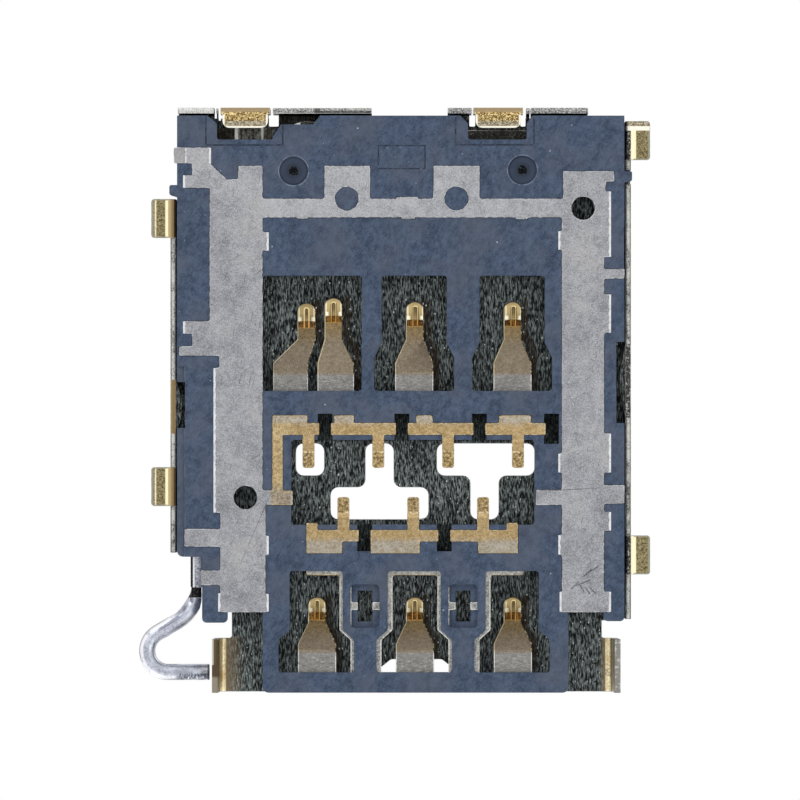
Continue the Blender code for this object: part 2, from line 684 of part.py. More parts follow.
def rear_terminal_plans():
    """Plans of the four rear terminals; the first one belongs to the ground frame."""
    tails = [FIRST_REAR_TAIL_X - TAIL_PITCH * k for k in range(4)]
    cuts = REAR_PUNCH_X
    half_gap = FLAT_GAP / 2
    detect = COLUMNS[0] + DETECT_OFFSET
    domes = [detect + DETECT_SPLIT / 2, detect - DETECT_SPLIT / 2, COLUMNS[1], COLUMNS[2]]
    lefts = [FRAME_LINK_X] + [cut - half_gap for cut in cuts[:3]]
    plans = []
    for number, step in enumerate(REAR_FLAT_STEPS):
        right = cuts[number] + half_gap
        root_x = domes[number] + REAR_ROOT_OFFSETS[number]
        plans.append(rear_terminal_plan(
            tails[number], lefts[number], right, *step, root_x, REAR_ROOT_WIDTHS[number] / 2,
            domes[number], TIP_SHIFTS[number]))
    return plans


def window_outline(centre, half, flare, rear, flare_rear, flare_front, front):
    """Contact window: straight at its rear, flared and wider at its front."""
    return rounded([
        (centre + half, rear),
        (centre + half, flare_rear, 0),
        (centre + half + flare, flare_front, 0),
        (centre + half + flare, front),
        (centre - half - flare, front),
        (centre - half - flare, flare_front, 0),
        (centre - half, flare_rear, 0),
        (centre - half, rear),
    ], WINDOW_RADIUS)


def loop_arm(side):
    """Outer and inner edge of the strip round one side of a front window, from the top down."""
    half = FRONT_WINDOW_WIDTH / 2
    wide = half + FRONT_WINDOW_FLARE
    bottom = FRONT_WINDOW_FRONT - LOOP_FOOT
    crossbar = FRONT_WINDOW_FRONT - MOULD_FIT
    root = ROOT_WIDTH / 2 - LOOP_LAP
    outer = [
        (half + LOOP_BURIED, FRONT_WINDOW_REAR + LOOP_BURIED),
        (half + LOOP_BURIED, FRONT_FLARE_REAR),
        (wide + LOOP_BURIED, FRONT_FLARE_FRONT),
        (wide + LOOP_BURIED, bottom),
    ]
    inner = [
        (root, bottom),
        (root, crossbar),
        (wide - LOOP_RIM, crossbar),
        (wide - LOOP_RIM, FRONT_FLARE_FRONT),
        (half - LOOP_RIM, FRONT_FLARE_REAR),
        (half - LOOP_RIM, FRONT_WINDOW_REAR - LOOP_RIM, WINDOW_RADIUS),
    ]
    return [(side * p[0], *p[1:]) for p in outer + inner]


def loop_outline(centre, sides, free_end):
    """Plan of the strip that runs round one or both sides of a front window to the contact's root."""
    local = loop_arm(sides[0])
    if len(sides) == 2:
        local += loop_arm(sides[1])[::-1]
    else:
        local += [(sides[0] * free_end, FRONT_WINDOW_REAR - LOOP_RIM),
                  (sides[0] * free_end, FRONT_WINDOW_REAR + LOOP_BURIED)]
    return rounded([(centre + p[0], *p[1:]) for p in local])


def front_flat(tail, span, block, ear_side):
    """Plan of a front flat with its tail, its ear at one end or none, and the buried neck below."""
    half = TAIL_WIDTH / 2
    ear_top = FRONT_FLAT_REAR + EAR_HEIGHT
    left = [(span[0], FRONT_FLAT_REAR)]
    right = [(span[1], FRONT_FLAT_REAR)]
    if ear_side > 0:
        edge = span[0] - EAR_WIDTH
        left = [(span[0], ear_top), (edge, ear_top), (edge, FRONT_FLAT_REAR)]
    if ear_side < 0:
        edge = span[1] + EAR_WIDTH
        right = [(edge, FRONT_FLAT_REAR), (edge, ear_top), (span[1], ear_top)]
    outline = [
        *left,
        (tail + half, FRONT_FLAT_REAR),
        (tail + half, FRONT_TAIL_END, TAIL_CORNER),
        (tail - half, FRONT_TAIL_END, TAIL_CORNER),
        (tail - half, FRONT_FLAT_REAR),
        *right,
        (span[1], FRONT_FLAT_STEP),
        (block[1], FRONT_FLAT_STEP),
        (block[1], FRONT_WINDOW_REAR),
        (block[0], FRONT_WINDOW_REAR),
        (block[0], FRONT_FLAT_STEP),
        (span[0], FRONT_FLAT_STEP),
    ]
    return rounded(drop_repeats(outline))


def front_terminal_plans():
    """Plans of the three front terminals: flat with tail and neck, loops, and cut tie ends."""
    half_gap = FLAT_GAP / 2
    first, second = FRONT_PUNCH_X
    tails = [FIRST_REAR_TAIL_X - TAIL_PITCH * (k + 0.5) for k in range(3)]
    spans = [
        (FRONT_FLAT_LEFT, first + half_gap),
        (first - half_gap, second + half_gap),
        (second - half_gap, FRONT_FLAT_RIGHT),
    ]
    blocks = [
        (spans[0][0], spans[0][1] + FIRST_BLOCK_SHORT),
        (spans[1][0], spans[1][1] + SECOND_BLOCK_SHORT),
        (spans[2][0] - THIRD_BLOCK_SHORT, spans[2][1]),
    ]
    sides = [(-1,), (1, -1), (1,)]
    loop_edge = FRONT_WINDOW_WIDTH / 2 + LOOP_BURIED
    low, high = RECESS_Y - TIE_WIDTH / 2, RECESS_Y + TIE_WIDTH / 2
    plans = []
    for column, tail, span, block, ear, arms in zip(COLUMNS, tails, spans, blocks, (1, 0, -1), sides):
        shapes = [front_flat(tail, span, block, ear), loop_outline(column, arms, LOOP_FREE_END)]
        for side in arms:
            stub = column + side * loop_edge
            inner, outer = sorted((stub - side * TIE_LAP, stub + side * tie_reach(column, side)))
            shapes.append(box_outline(inner, outer, low, high))
        plans.append(shapes)
    return plans


def drop_repeats(points):
    """Leave out points that repeat the one before."""
    kept = []
    for point in points:
        if not kept or point[:2] != kept[-1][:2]:
            kept.append(point)
    return kept


def tie_centres():
    """Centres of the two punched tie holes, halfway between the front windows."""
    return [(COLUMNS[k] + COLUMNS[k + 1]) / 2 + TIE_SHIFT for k in range(2)]


def tie_reach(column, side):
    """Length of a cut tie end from a loop's outer edge to its tie hole."""
    centre = min(tie_centres(), key=lambda x: abs(x - column - side * CONTACT_PITCH / 2))
    edge = abs(centre - column) - TIE_HOLE_WIDTH / 2
    return edge - FRONT_WINDOW_WIDTH / 2 - LOOP_BURIED


def front_terminal(shop, shapes, column, gap, name):
    """One front terminal, or with a gap its cutter: the looped strip joined to its beam."""
    body = bent_piece(shop, shapes, front_sheet_line(), gap, name)
    start = FRONT_WINDOW_FRONT - LOOP_FOOT
    plan = contact_width_outline(
        column, ROOT_WIDTH / 2, column, start, FRONT_SLANT_Y, FRONT_NECK_Y, FRONT_TIP_Y)
    line = rounded(beam_line(start, FRONT_BEND_Y, FRONT_CREST_Y, FRONT_TIP_Y), closed=False)
    beam = bent_piece(shop, [plan], line, gap, name + "_beam")
    return shop.combine(body, "UNION", [beam], STEPPED)


def stepped(start, steps):
    """Points of an edge along Y that runs at each x as far as each y."""
    points = []
    for x, end in steps:
        points += [(x, start), (x, end)]
        start = end
    return points


def frame_bar_bumps():
    """Front edge of the rear bar, from the right rail to the left one, with three small bumps."""
    points = []
    for right, left in FRAME_BUMPS_X:
        low = FRAME_BAR_FRONT - FRAME_BUMP
        points += [(right, FRAME_BAR_FRONT), (right, low), (left, low), (left, FRAME_BAR_FRONT)]
    return points


def frame_outline():
    """Plan of the ground frame: two stepped rails joined by the rear bar, with its squares and ties."""
    left_outer = stepped(FRAME_FRONT_EDGE, LEFT_OUTER_STEPS) + [
        (LEFT_TAB_INNER, LEFT_TAB_REAR), (LEFT_TAB_INNER, LEFT_SLANT_REAR),
        (LEFT_SLANT_END, LEFT_SLANT_FRONT), (LEFT_SQUARE_X, LEFT_SLANT_FRONT),
        (LEFT_SQUARE_X, FRAME_REAR_EDGE), (LEFT_RAIL_INNER, FRAME_REAR_EDGE),
        (LEFT_RAIL_INNER, FRAME_BAR_REAR),
    ]
    squares = [[(left, FRAME_BAR_REAR), (left, FRAME_REAR_EDGE), (right, FRAME_REAR_EDGE),
                (right, FRAME_BAR_REAR)] for left, right in FRAME_SQUARES_X]
    left, right = FRAME_REAR_BUMP_X
    rear_bump = [(left, FRAME_BAR_REAR), (left, FRAME_BAR_REAR + FRAME_BUMP),
                 (right, FRAME_BAR_REAR + FRAME_BUMP), (right, FRAME_BAR_REAR)]
    rear_edge = squares[0] + rear_bump + squares[1]
    right_outer = [(RIGHT_SQUARE_X, FRAME_BAR_REAR)]
    right_outer += [(RIGHT_SQUARE_X, RIGHT_TAB_REAR)] + stepped(RIGHT_TAB_REAR, RIGHT_OUTER_STEPS)
    right_inner = stepped(FRAME_FRONT_EDGE, RIGHT_INNER_STEPS)
    link_right = FRAME_LINK_X - FRAME_LINK_WIDTH
    left_inner = stepped(FRAME_BAR_FRONT, LEFT_INNER_REAR_STEPS) + [
        (FRAME_LINK_X, FRAME_CROSS_REAR), (FRAME_LINK_X, REAR_FLAT_STEP),
        (link_right, REAR_FLAT_STEP), (link_right, FRAME_CROSS_REAR),
    ] + stepped(FRAME_CROSS_REAR, LEFT_INNER_FRONT_STEPS)
    corners = left_outer + rear_edge + right_outer + right_inner + frame_bar_bumps() + left_inner
    return rounded(drop_repeats(corners), FRAME_CORNER, quarter=COARSE_STEPS)


def ground_frame(shop, terminal_plan, gap, name):
    """Ground frame with its own rear contact, or with a gap its cutter."""
    low = STANDOFF - (OVERSHOOT if gap else 0)
    high = STANDOFF + METAL_SHEET + gap
    plate = shop.flat([grown(frame_outline(), gap)], low, high, "Z", name)
    hole = FRAME_HOLE_RADIUS - gap
    holes = [circle_outline(x, FRAME_BAR_REAR, hole) for x in FRAME_PLUG_X]
    if gap == 0:
        holes += [circle_outline(*spot, hole) for spot in (LEFT_PILOT_HOLE, RIGHT_PILOT_HOLE)]
    contact = bent_piece(shop, terminal_plan, rear_sheet_line(TIP_SHIFTS[0]), gap, name + "_contact")
    cuts = [shop.flat([loop], low - OVERSHOOT, COVER_HEIGHT) for loop in holes]
    shop.combine(plate, "DIFFERENCE", cuts, STEPPED)
    return shop.combine(plate, "UNION", [contact], STEPPED)


def housing_outline():
    """Plan of the moulding's outer edge, from the rear right corner round to the front."""
    chamfer = REAR_NOTCH_CHAMFER
    deep = HOUSING_REAR - REAR_NOTCH_DEPTH
    notch = REAR_FOOT_WIDTH / 2 + REAR_NOTCH_GAP
    right_a = RIGHT_REAR_FOOT_X - notch
    right_b = RIGHT_REAR_FOOT_X + notch + NOTCH_EXTRA_RIGHT
    left_a = LEFT_REAR_FOOT_X - notch + NOTCH_EXTRA_LEFT
    left_b = LEFT_REAR_FOOT_X + notch
    hub_line = HOUSING_REAR - HUB_NOTCH_DEPTH
    post_left = CHANNEL_INNER + POST_STEP
    return rounded([
        (-INNER_HALF, HOUSING_REAR),
        (right_a - RIGHT_NOTCH_RUN, HOUSING_REAR),
        (right_a, HOUSING_REAR - chamfer),
        (right_a, deep, NOTCH_CORNER),
        (right_b, deep, NOTCH_CORNER),
        (right_b, HOUSING_REAR - chamfer),
        (right_b + chamfer, HOUSING_REAR),
        (HUB_NOTCH_RIGHT - HUB_NOTCH_SLANT, HOUSING_REAR),
        (HUB_NOTCH_RIGHT, hub_line),
        (HUB_NOTCH_LEFT, hub_line),
        (left_a, hub_line - HUB_NOTCH_FALL),
        (left_a, deep, NOTCH_CORNER),
        (left_b, deep, NOTCH_CORNER),
        (left_b, HOUSING_REAR - chamfer),
        (left_b + LEFT_NOTCH_RUN, HOUSING_REAR),
        (INNER_HALF, HOUSING_REAR),
        (INNER_HALF, LEFT_BUMP_Y + BUMP_LENGTH / 2),
        (INNER_HALF + BUMP_REACH, LEFT_BUMP_Y + BUMP_LENGTH / 2, BUMP_CORNER),
        (INNER_HALF + BUMP_REACH, LEFT_BUMP_Y - BUMP_LENGTH / 2 + BUMP_TAPER, BUMP_CORNER),
        (INNER_HALF, LEFT_BUMP_Y - BUMP_LENGTH / 2),
        (INNER_HALF, LEFT_STEP_Y, TONGUE_CORNER),
        (post_left, LEFT_STEP_Y),
        (post_left, LEFT_POST_FRONT, POST_CORNER),
        (post_left - LEFT_POST_WIDTH, LEFT_POST_FRONT, POST_CORNER),
        (post_left - LEFT_POST_WIDTH, TONGUE_ROOT),
        (TONGUE_LEFT_X, TONGUE_ROOT),
        (TONGUE_LEFT_X, HOUSING_FRONT, TONGUE_CORNER),
        (TONGUE_RIGHT_X, HOUSING_FRONT, TONGUE_CORNER),
        (TONGUE_RIGHT_X, TONGUE_ROOT),
        (-INNER_HALF + RIGHT_POST_WIDTH, TONGUE_ROOT),
        (-INNER_HALF + RIGHT_POST_WIDTH, RIGHT_POST_FRONT, POST_CORNER),
        (-INNER_HALF, RIGHT_POST_FRONT, POST_CORNER),
        (-INNER_HALF, RIGHT_BUMP_Y - BUMP_LENGTH / 2),
        (-INNER_HALF - BUMP_REACH, RIGHT_BUMP_Y - BUMP_LENGTH / 2 + BUMP_TAPER, BUMP_CORNER),
        (-INNER_HALF - BUMP_REACH, RIGHT_BUMP_Y + BUMP_LENGTH / 2, BUMP_CORNER),
        (-INNER_HALF, RIGHT_BUMP_Y + BUMP_LENGTH / 2),
    ])


def spring_pocket(shop, side, start, end):
    """Cutter for the side slot in which one of the cover's springs flexes."""
    inner = side * (INNER_HALF - SPRING_POCKET_DEPTH)
    outer = side * (INNER_HALF + OVERSHOOT)
    x0, x1 = sorted((inner, outer))
    return shop.flat([box_outline(x0, x1, start, end)], -OVERSHOOT, COVER_HEIGHT)


def housing_hollows(shop):
    """Cutters for the tray room, the rod's channel and the lever's room above the floor."""
    top = COVER_HEIGHT + OVERSHOOT
    front = HOUSING_FRONT - OVERSHOOT
    tray = box_outline(TRAY_RIGHT, TRAY_LEFT, front, LEVER_ROOM_REAR)
    channel = box_outline(CHANNEL_INNER, CHANNEL_OUTER, front, LEVER_ROOM_REAR)
    lever = box_outline(TRAY_LEFT - OVERSHOOT, CHANNEL_OUTER, LEVER_ROOM_FRONT, LEVER_ROOM_REAR)
    hub = circle_outline(PIVOT_X, PIVOT_Y, HUB_RADIUS + RUNNING_FIT)
    beyond = box_outline(CHANNEL_OUTER - RUNNING_FIT, INNER_HALF + OVERSHOOT, front, LEFT_STEP_Y)
    return [shop.flat([loop], FLOOR_TOP, top) for loop in (tray, channel, lever, hub, beyond)]


def housing_openings(shop):
    """Cutters for the contact windows, the middle opening and the punched holes."""
    low, high = -OVERSHOOT, FLOOR_TOP + OVERSHOOT
    loops = []
    for column in COLUMNS[1:]:
        loops.append(window_outline(column + WINDOW_SHIFT, REAR_WINDOW_WIDTH / 2, REAR_WINDOW_FLARE,
                                    REAR_WINDOW_REAR, REAR_FLARE_REAR, REAR_FLARE_FRONT, REAR_WINDOW_FRONT))
    for column in COLUMNS:
        loops.append(window_outline(column + WINDOW_SHIFT, FRONT_WINDOW_WIDTH / 2, FRONT_WINDOW_FLARE,
                                    FRONT_WINDOW_REAR, FRONT_FLARE_REAR, FRONT_FLARE_FRONT,
                                    FRONT_WINDOW_FRONT))
    loops.append(box_outline(DETECT_WINDOW_RIGHT, DETECT_WINDOW_LEFT, REAR_WINDOW_FRONT,
                             REAR_WINDOW_REAR, WINDOW_RADIUS))
    loops.append(box_outline(MIDDLE_RIGHT, MIDDLE_LEFT, MIDDLE_FRONT, MIDDLE_REAR, WINDOW_RADIUS))
    half = PUNCH_WIDTH / 2
    for x in REAR_PUNCH_X[:-1]:
        loops.append(box_outline(x - half, x + half, MIDDLE_REAR - PUNCH_LAP, PUNCH_REAR))
    last = REAR_PUNCH_X[-1]
    loops.append(box_outline(last - half, last + half, LAST_PUNCH_FRONT, PUNCH_REAR))
    for x in FRONT_PUNCH_X:
        loops.append(box_outline(x - half, x + half, PUNCH_FRONT, MIDDLE_FRONT + PUNCH_LAP))
    for x in tie_centres():
        loops.append(box_outline(x - TIE_HOLE_WIDTH / 2, x + TIE_HOLE_WIDTH / 2,
                                 RECESS_Y - TIE_HOLE_LENGTH / 2, RECESS_Y + TIE_HOLE_LENGTH / 2))
    return [shop.flat([loop], low, high) for loop in loops]


def housing_recesses(shop):
    """Cutters for the shallow marks of the underside and the blind pilot holes."""
    low = STANDOFF - OVERSHOOT
    cuts = [shop.flat([circle_outline(x, GATE_Y, GATE_RADIUS)], low, STANDOFF + GATE_DEPTH) for x in GATE_X]
    for x in tie_centres():
        loop = box_outline(x - RECESS_WIDTH / 2, x + RECESS_WIDTH / 2, RECESS_Y - RECESS_LENGTH / 2,
                           RECESS_Y + RECESS_LENGTH / 2, RECESS_RADIUS)
        cuts.append(shop.flat([loop], low, STANDOFF + RECESS_DEPTH))
    strip = box_outline(INNER_HALF - EDGE_STEP_WIDTH, INNER_HALF + OVERSHOOT,
                        LEFT_STEP_Y - OVERSHOOT, EDGE_STEP_END)
    cuts.append(shop.flat([strip], low, STANDOFF + EDGE_STEP_DEPTH))
    for spot in (LEFT_PILOT_HOLE, RIGHT_PILOT_HOLE):
        cuts.append(shop.flat([circle_outline(*spot, FRAME_HOLE_RADIUS)], low, PILOT_DEPTH))
    return cuts


def make_housing(shop, metal_cutters):
    """Moulding: floor, ribs, rear wall and lever post, open where the metal and the moving parts go."""
    body = shop.flat([housing_outline()], STANDOFF, RIB_TOP)
    shop.combine(body, "DIFFERENCE", housing_hollows(shop), STEPPED)
    seat_top = ROD_LEVEL - LEVER_SHEET / 2 - SEAT_FIT
    root = FLOOR_TOP - LAP
    seat = shop.flat([circle_outline(PIVOT_X, PIVOT_Y, POST_RADIUS + SEAT_RIM)], root, seat_top)
    post = shop.flat([circle_outline(PIVOT_X, PIVOT_Y, POST_RADIUS)], root, RIB_TOP)
    shop.combine(body, "UNION", [seat, post], STEPPED)
    shop.combine(body, "DIFFERENCE", housing_openings(shop), STEPPED)
    shop.combine(body, "DIFFERENCE", housing_recesses(shop), STEPPED)
    pockets = [spring_pocket(shop, 1, *LEFT_POCKET), spring_pocket(shop, -1, *RIGHT_POCKET)]
    shop.combine(body, "DIFFERENCE", pockets, STEPPED)
    return shop.combine(body, "DIFFERENCE", metal_cutters, STEPPED)


def cover_plan():
    """Plan of the cover's flat top inside its fold lines."""
    side = HALF_WIDTH - BEND_OUTER
    rear = HALF_LENGTH - BEND_OUTER
    front = -HALF_LENGTH
    fold = COVER_SHEET + FRONT_WALL_LEAN + FRONT_BEND
    left_wall = LEFT_FRONT_WALL_X - fold
    right_wall = RIGHT_FRONT_WALL_X + fold
    wall_rear = front + FRONT_WALL_LENGTH
    neck_rear = wall_rear + FRONT_NECK_LENGTH
    points = [(-side, rear)]
    for right, left, depth in RELIEF_SLOTS:
        points += [(right, rear), (right, rear - depth, RELIEF_CORNER),
                   (left, rear - depth, RELIEF_CORNER), (left, rear)]
    points += [
        (side, rear),
        (side, LEFT_WALL_START),
        (LEFT_SHOULDER_X, LEFT_WALL_START),
        (LEFT_SHOULDER_X, LEFT_SHOULDER_Y),
        (LEFT_NECK_X, LEFT_SHOULDER_Y),
        (LEFT_NECK_X, wall_rear, NECK_CORNER),
        (left_wall, wall_rear),
        (left_wall, front),
    ]
    notch = MOUTH_NOTCH_WIDTH / 2
    points += [
        (MOUTH_NOTCH_X + notch + MOUTH_NOTCH_FLARE, front, NECK_CORNER),
        (MOUTH_NOTCH_X + notch, front + MOUTH_NOTCH_DEPTH, NECK_CORNER),
        (MOUTH_NOTCH_X - notch, front + MOUTH_NOTCH_DEPTH, NECK_CORNER),
        (MOUTH_NOTCH_X - notch - MOUTH_NOTCH_FLARE, front, NECK_CORNER),
        (right_wall, front),
        (right_wall, wall_rear),
        (RIGHT_NECK_X, wall_rear, NECK_CORNER),
        (RIGHT_NECK_X, neck_rear),
        (-side, neck_rear),
    ]
    return rounded(points)


def cover_windows():
    """Openings of the cover over the solder tails: a slot, a stepped one and a T."""
    rear, middle, front = TAIL_WINDOW_REAR, TAIL_WINDOW_MIDDLE, TAIL_WINDOW_FRONT
    bar = rear - TAIL_WINDOW_BAR
    radius = TAIL_WINDOW_RADIUS
    first = FIRST_REAR_TAIL_X + TAIL_WINDOW_SHIFT
    tails = [first - TAIL_PITCH * k / 2 for k in range(7)]
    half = TAIL_WIDTH / 2 + TAIL_WINDOW_MARGIN
    slot = box_outline(tails[0] - half, tails[0] + half, bar, rear, radius)
    stepped_end = tails[3] - half
    stepped_one = rounded([
        (tails[2] + half, rear), (tails[2] + half, middle),
        (tails[1] + half, middle), (tails[1] + half, front), (stepped_end, front),
        (stepped_end, middle), (tails[2] - half, middle), (tails[2] - half, rear),
    ], radius)
    tee_left = tails[4] + half - TEE_SHORT
    tee_right = tails[6] - half - TEE_SHORT
    stem = tails[5] + TEE_STEM_SHIFT
    tee = rounded([
        (tee_left, rear), (tee_left, bar), (stem + half, bar), (stem + half, front),
        (stem - half, front), (stem - half, bar), (tee_right, bar), (tee_right, rear),
    ], radius)
    return [slot, stepped_one, tee]


def wall_line(bottom, fold, lean=0.0):
    """Section of a plain folded wall, outward distance against height, from the flat sheet down."""
    middle = COVER_HEIGHT - COVER_SHEET / 2
    face = -COVER_SHEET / 2 - lean
    start = face - COVER_SHEET / 2 - fold - FOOT_MARGIN
    line = [(start, middle), (face, middle, fold + COVER_SHEET / 2), (face + lean, bottom)]
    return sheet_outline(rounded(line, closed=False), COVER_SHEET)


def foot_line(reach):
    """Section of a folded wall that ends in a solder foot, turned out or with a minus turned in."""
    middle = COVER_HEIGHT - COVER_SHEET / 2
    face = -COVER_SHEET / 2
    line = [
        (-BEND_OUTER - FOOT_MARGIN, middle),
        (face, middle, COVER_BEND + COVER_SHEET / 2),
        (face, COVER_SHEET / 2, FOOT_BEND + COVER_SHEET / 2),
        (face + reach, COVER_SHEET / 2),
    ]
    return sheet_outline(rounded(line, closed=False), COVER_SHEET)


def folded_edge(shop, place, sign, start, end, section):
    """Wall folded down at x = place, seen along Y; sign is the side it faces."""
    profile = [Vector((place + sign * p.x, p.y)) for p in section]
    return shop.flat([profile], start, end, "Y")


def folded_rear(shop, start, end, section):
    """Wall folded down at the cover's rear edge, seen along X."""
    profile = [Vector((HALF_LENGTH + p.x, p.y)) for p in section]
    return shop.flat([profile], start, end, "X")


def side_foot(shop, sign, centre):
    """Side wall with a solder foot turned out, its free corners rounded."""
    half = SIDE_FOOT_LENGTH / 2
    section = foot_line(SIDE_FOOT_REACH + COVER_SHEET / 2)
    wall = folded_edge(shop, sign * HALF_WIDTH, sign, centre - half, centre + half, section)
    tip = sign * (HALF_WIDTH + SIDE_FOOT_REACH)
    inner = sign * (HALF_WIDTH - 2 * BEND_OUTER)
    plan = rounded([
        (inner, centre - half), (tip, centre - half, SIDE_FOOT_CORNER),
        (tip, centre + half, SIDE_FOOT_CORNER), (inner, centre + half),
    ])
    trim = shop.flat([plan], -OVERSHOOT, COVER_HEIGHT + OVERSHOOT)
    return shop.combine(wall, "INTERSECT", [trim])


def rear_foot(shop, centre):
    """Rear wall with a solder foot turned in, its free corners rounded."""
    half = REAR_FOOT_WIDTH / 2
    section = foot_line(COVER_SHEET / 2 - REAR_FOOT_REACH)
    wall = folded_rear(shop, centre - half, centre + half, section)
    tip = HALF_LENGTH - REAR_FOOT_REACH
    outer = HALF_LENGTH + OVERSHOOT
    shoulder = HALF_LENGTH - REAR_SHOULDER
    narrow = half - REAR_FOOT_INSET
    wide = half + LAP
    plan = rounded([
        (centre - wide, outer), (centre - wide, shoulder), (centre - narrow, shoulder),
        (centre - narrow, tip, REAR_FOOT_CORNER), (centre + narrow, tip, REAR_FOOT_CORNER),
        (centre + narrow, shoulder), (centre + wide, shoulder), (centre + wide, outer),
    ])
    trim = shop.flat([plan], -OVERSHOOT, COVER_HEIGHT + OVERSHOOT)
    return shop.combine(wall, "INTERSECT", [trim], STEPPED)


def side_spring(shop, side, start, end):
    """Window in a side wall, and the bowed strip that bridges it."""
    x0, x1 = sorted((side * (INNER_HALF + COVER_FIT - LAP / 2), side * (HALF_WIDTH + LAP / 2)))
    low = SPRING_LEVEL - SPRING_HEIGHT / 2
    high = SPRING_LEVEL + SPRING_HEIGHT / 2
    window = shop.flat([box_outline(x0, x1, start, end)], low - SPRING_CLEARANCE, high + SPRING_CLEARANCE)
    wall = side * (HALF_WIDTH - COVER_SHEET / 2)
    crest = wall - side * SPRING_BOW
    centre = (start + end) / 2
    line = [
        (wall, start - SPRING_ROOT),
        (wall, start + SPRING_ROOT / 2, COVER_SHEET),
        (crest, centre - SPRING_CREST, SPRING_CREST),
        (crest, centre + SPRING_CREST, SPRING_CREST),
        (wall, end - SPRING_ROOT / 2, COVER_SHEET),
        (wall, end + SPRING_ROOT),
    ]
    strip = sheet_outline(rounded(line, closed=False), COVER_SHEET)
    return window, shop.flat([strip], low, high)


def cover_walls(shop):
    """Every folded wall of the cover, plain or with a foot."""
    plain = wall_line(WALL_BOTTOM, COVER_BEND)
    solder = wall_line(0.0, FRONT_BEND, FRONT_WALL_LEAN)
    front = -HALF_LENGTH
    walls = [
        folded_edge(shop, HALF_WIDTH, 1, LEFT_WALL_START, LEFT_WALL_END, plain),
        folded_edge(shop, -HALF_WIDTH, -1, RIGHT_WALL_START, RIGHT_WALL_END, plain),
        folded_edge(shop, LEFT_FRONT_WALL_X, 1, front, front + FRONT_WALL_LENGTH, solder),
        folded_edge(shop, RIGHT_FRONT_WALL_X, -1, front, front + FRONT_WALL_LENGTH, solder),
    ]
    walls += [folded_rear(shop, start, end, plain) for start, end in REAR_WALL_SPANS]
    walls += [rear_foot(shop, x) for x in (LEFT_REAR_FOOT_X, RIGHT_REAR_FOOT_X)]
    walls += [side_foot(shop, 1, y) for y in LEFT_FEET_Y]
    walls += [side_foot(shop, -1, y) for y in RIGHT_FEET_Y]
    return walls


def relief_cutters(shop):
    """Cutters that carry the relief slots on through the rear bend as far as the walls."""
    fold = HALF_LENGTH - BEND_OUTER
    end = HALF_LENGTH - REAR_SHOULDER
    loops = [box_outline(right, left, fold - depth / 2, end) for right, left, depth in RELIEF_SLOTS]
    return [shop.flat([loop], CEILING - OVERSHOOT, COVER_HEIGHT + OVERSHOOT) for loop in loops]


def make_cover(shop):
    """Cover: flat top, folded walls, solder feet, side springs and the openings."""
    top = shop.flat([cover_plan()], CEILING, COVER_HEIGHT)
    shop.combine(top, "UNION", cover_walls(shop))
    bump_half = BUMP_LENGTH / 2 + COVER_FIT
    bump_room = box_outline(-HALF_WIDTH - LAP, -INNER_HALF, RIGHT_BUMP_Y - bump_half,
                            RIGHT_BUMP_Y + bump_half)
    cuts = [shop.flat([bump_room], -OVERSHOOT, CEILING - COVER_BEND)]
    cuts += [shop.flat([loop], CEILING - OVERSHOOT, COVER_HEIGHT + OVERSHOOT) for loop in cover_windows()]
    cuts += relief_cutters(shop)
    springs = []
    for side, place in ((1, LEFT_SPRING), (-1, RIGHT_SPRING)):
        window, spring = side_spring(shop, side, *place)
        cuts.append(window)
        springs.append(spring)
    shop.combine(top, "DIFFERENCE", cuts)
    return shop.combine(top, "UNION", springs)


def hook_path():
    """Middle line of the wire hook: the corner behind the neck, the turn and the straight arm."""
    path = rounded([
        (ROD_X, FINGER_Y),
        (ROD_X, HOOK_CORNER_Y, HOOK_CORNER_RADIUS),
        (HOOK_TURN_X, HOOK_TURN_Y, HOOK_TURN_RADIUS),
        (HOOK_TURN_END_X, HOOK_ARM_Y, HOOK_TURN_RADIUS),
        (LEFT_FRONT_WALL_X + HOOK_GAP, HOOK_ARM_Y),
    ], closed=False, quarter=FINE_STEPS)
    return [point for point in path if point.y < HOOK_START_Y]


def make_rod(shop):
    """Push rod: flattened shank with a finger for the lever, a neck, and the bent wire hook."""
    half = ROD_WIDTH / 2
    neck = NECK_WIDTH / 2
    neck_rear = ROD_NECK_Y + NECK_LENGTH / 2
    neck_front = ROD_NECK_Y - NECK_LENGTH / 2
    shank = rounded([
        (ROD_X + half, FINGER_Y + half, SHANK_CORNER),
        (FINGER_END_X, FINGER_Y + half, FINGER_CORNER),
        (FINGER_END_X, FINGER_Y - half, FINGER_CORNER),
        (ROD_X - half, FINGER_Y - half, FINGER_CORNER),
        (ROD_X - half, neck_rear),
        (ROD_X - neck, neck_rear - NECK_SLOPE),
        (ROD_X - neck, neck_front),
        (ROD_X + neck, neck_front),
        (ROD_X + neck, neck_rear - NECK_SLOPE),
        (ROD_X + half, neck_rear),
    ])
    low = ROD_LEVEL - ROD_HEIGHT / 2
    body = shop.flat([shank], low, low + ROD_HEIGHT, "Z", "shank")
    hook = shop.wire(hook_path(), WIRE_RADIUS, ROD_LEVEL, HOOK_TAPER)
    return shop.combine(body, "UNION", [hook])


def lever_point(reach, aside, angle):
    """Point at a distance from the pivot along a direction, and to its left."""
    along = Vector((math.cos(angle), math.sin(angle)))
    across = Vector((-along.y, along.x))
    return Vector((PIVOT_X, PIVOT_Y)) + along * reach + across * aside


def lever_corners(arm, angle):
    """Corners of one arm, given as reach, side and radius, placed along its direction."""
    return [(*lever_point(reach, aside, angle), radius) for reach, aside, radius in arm]


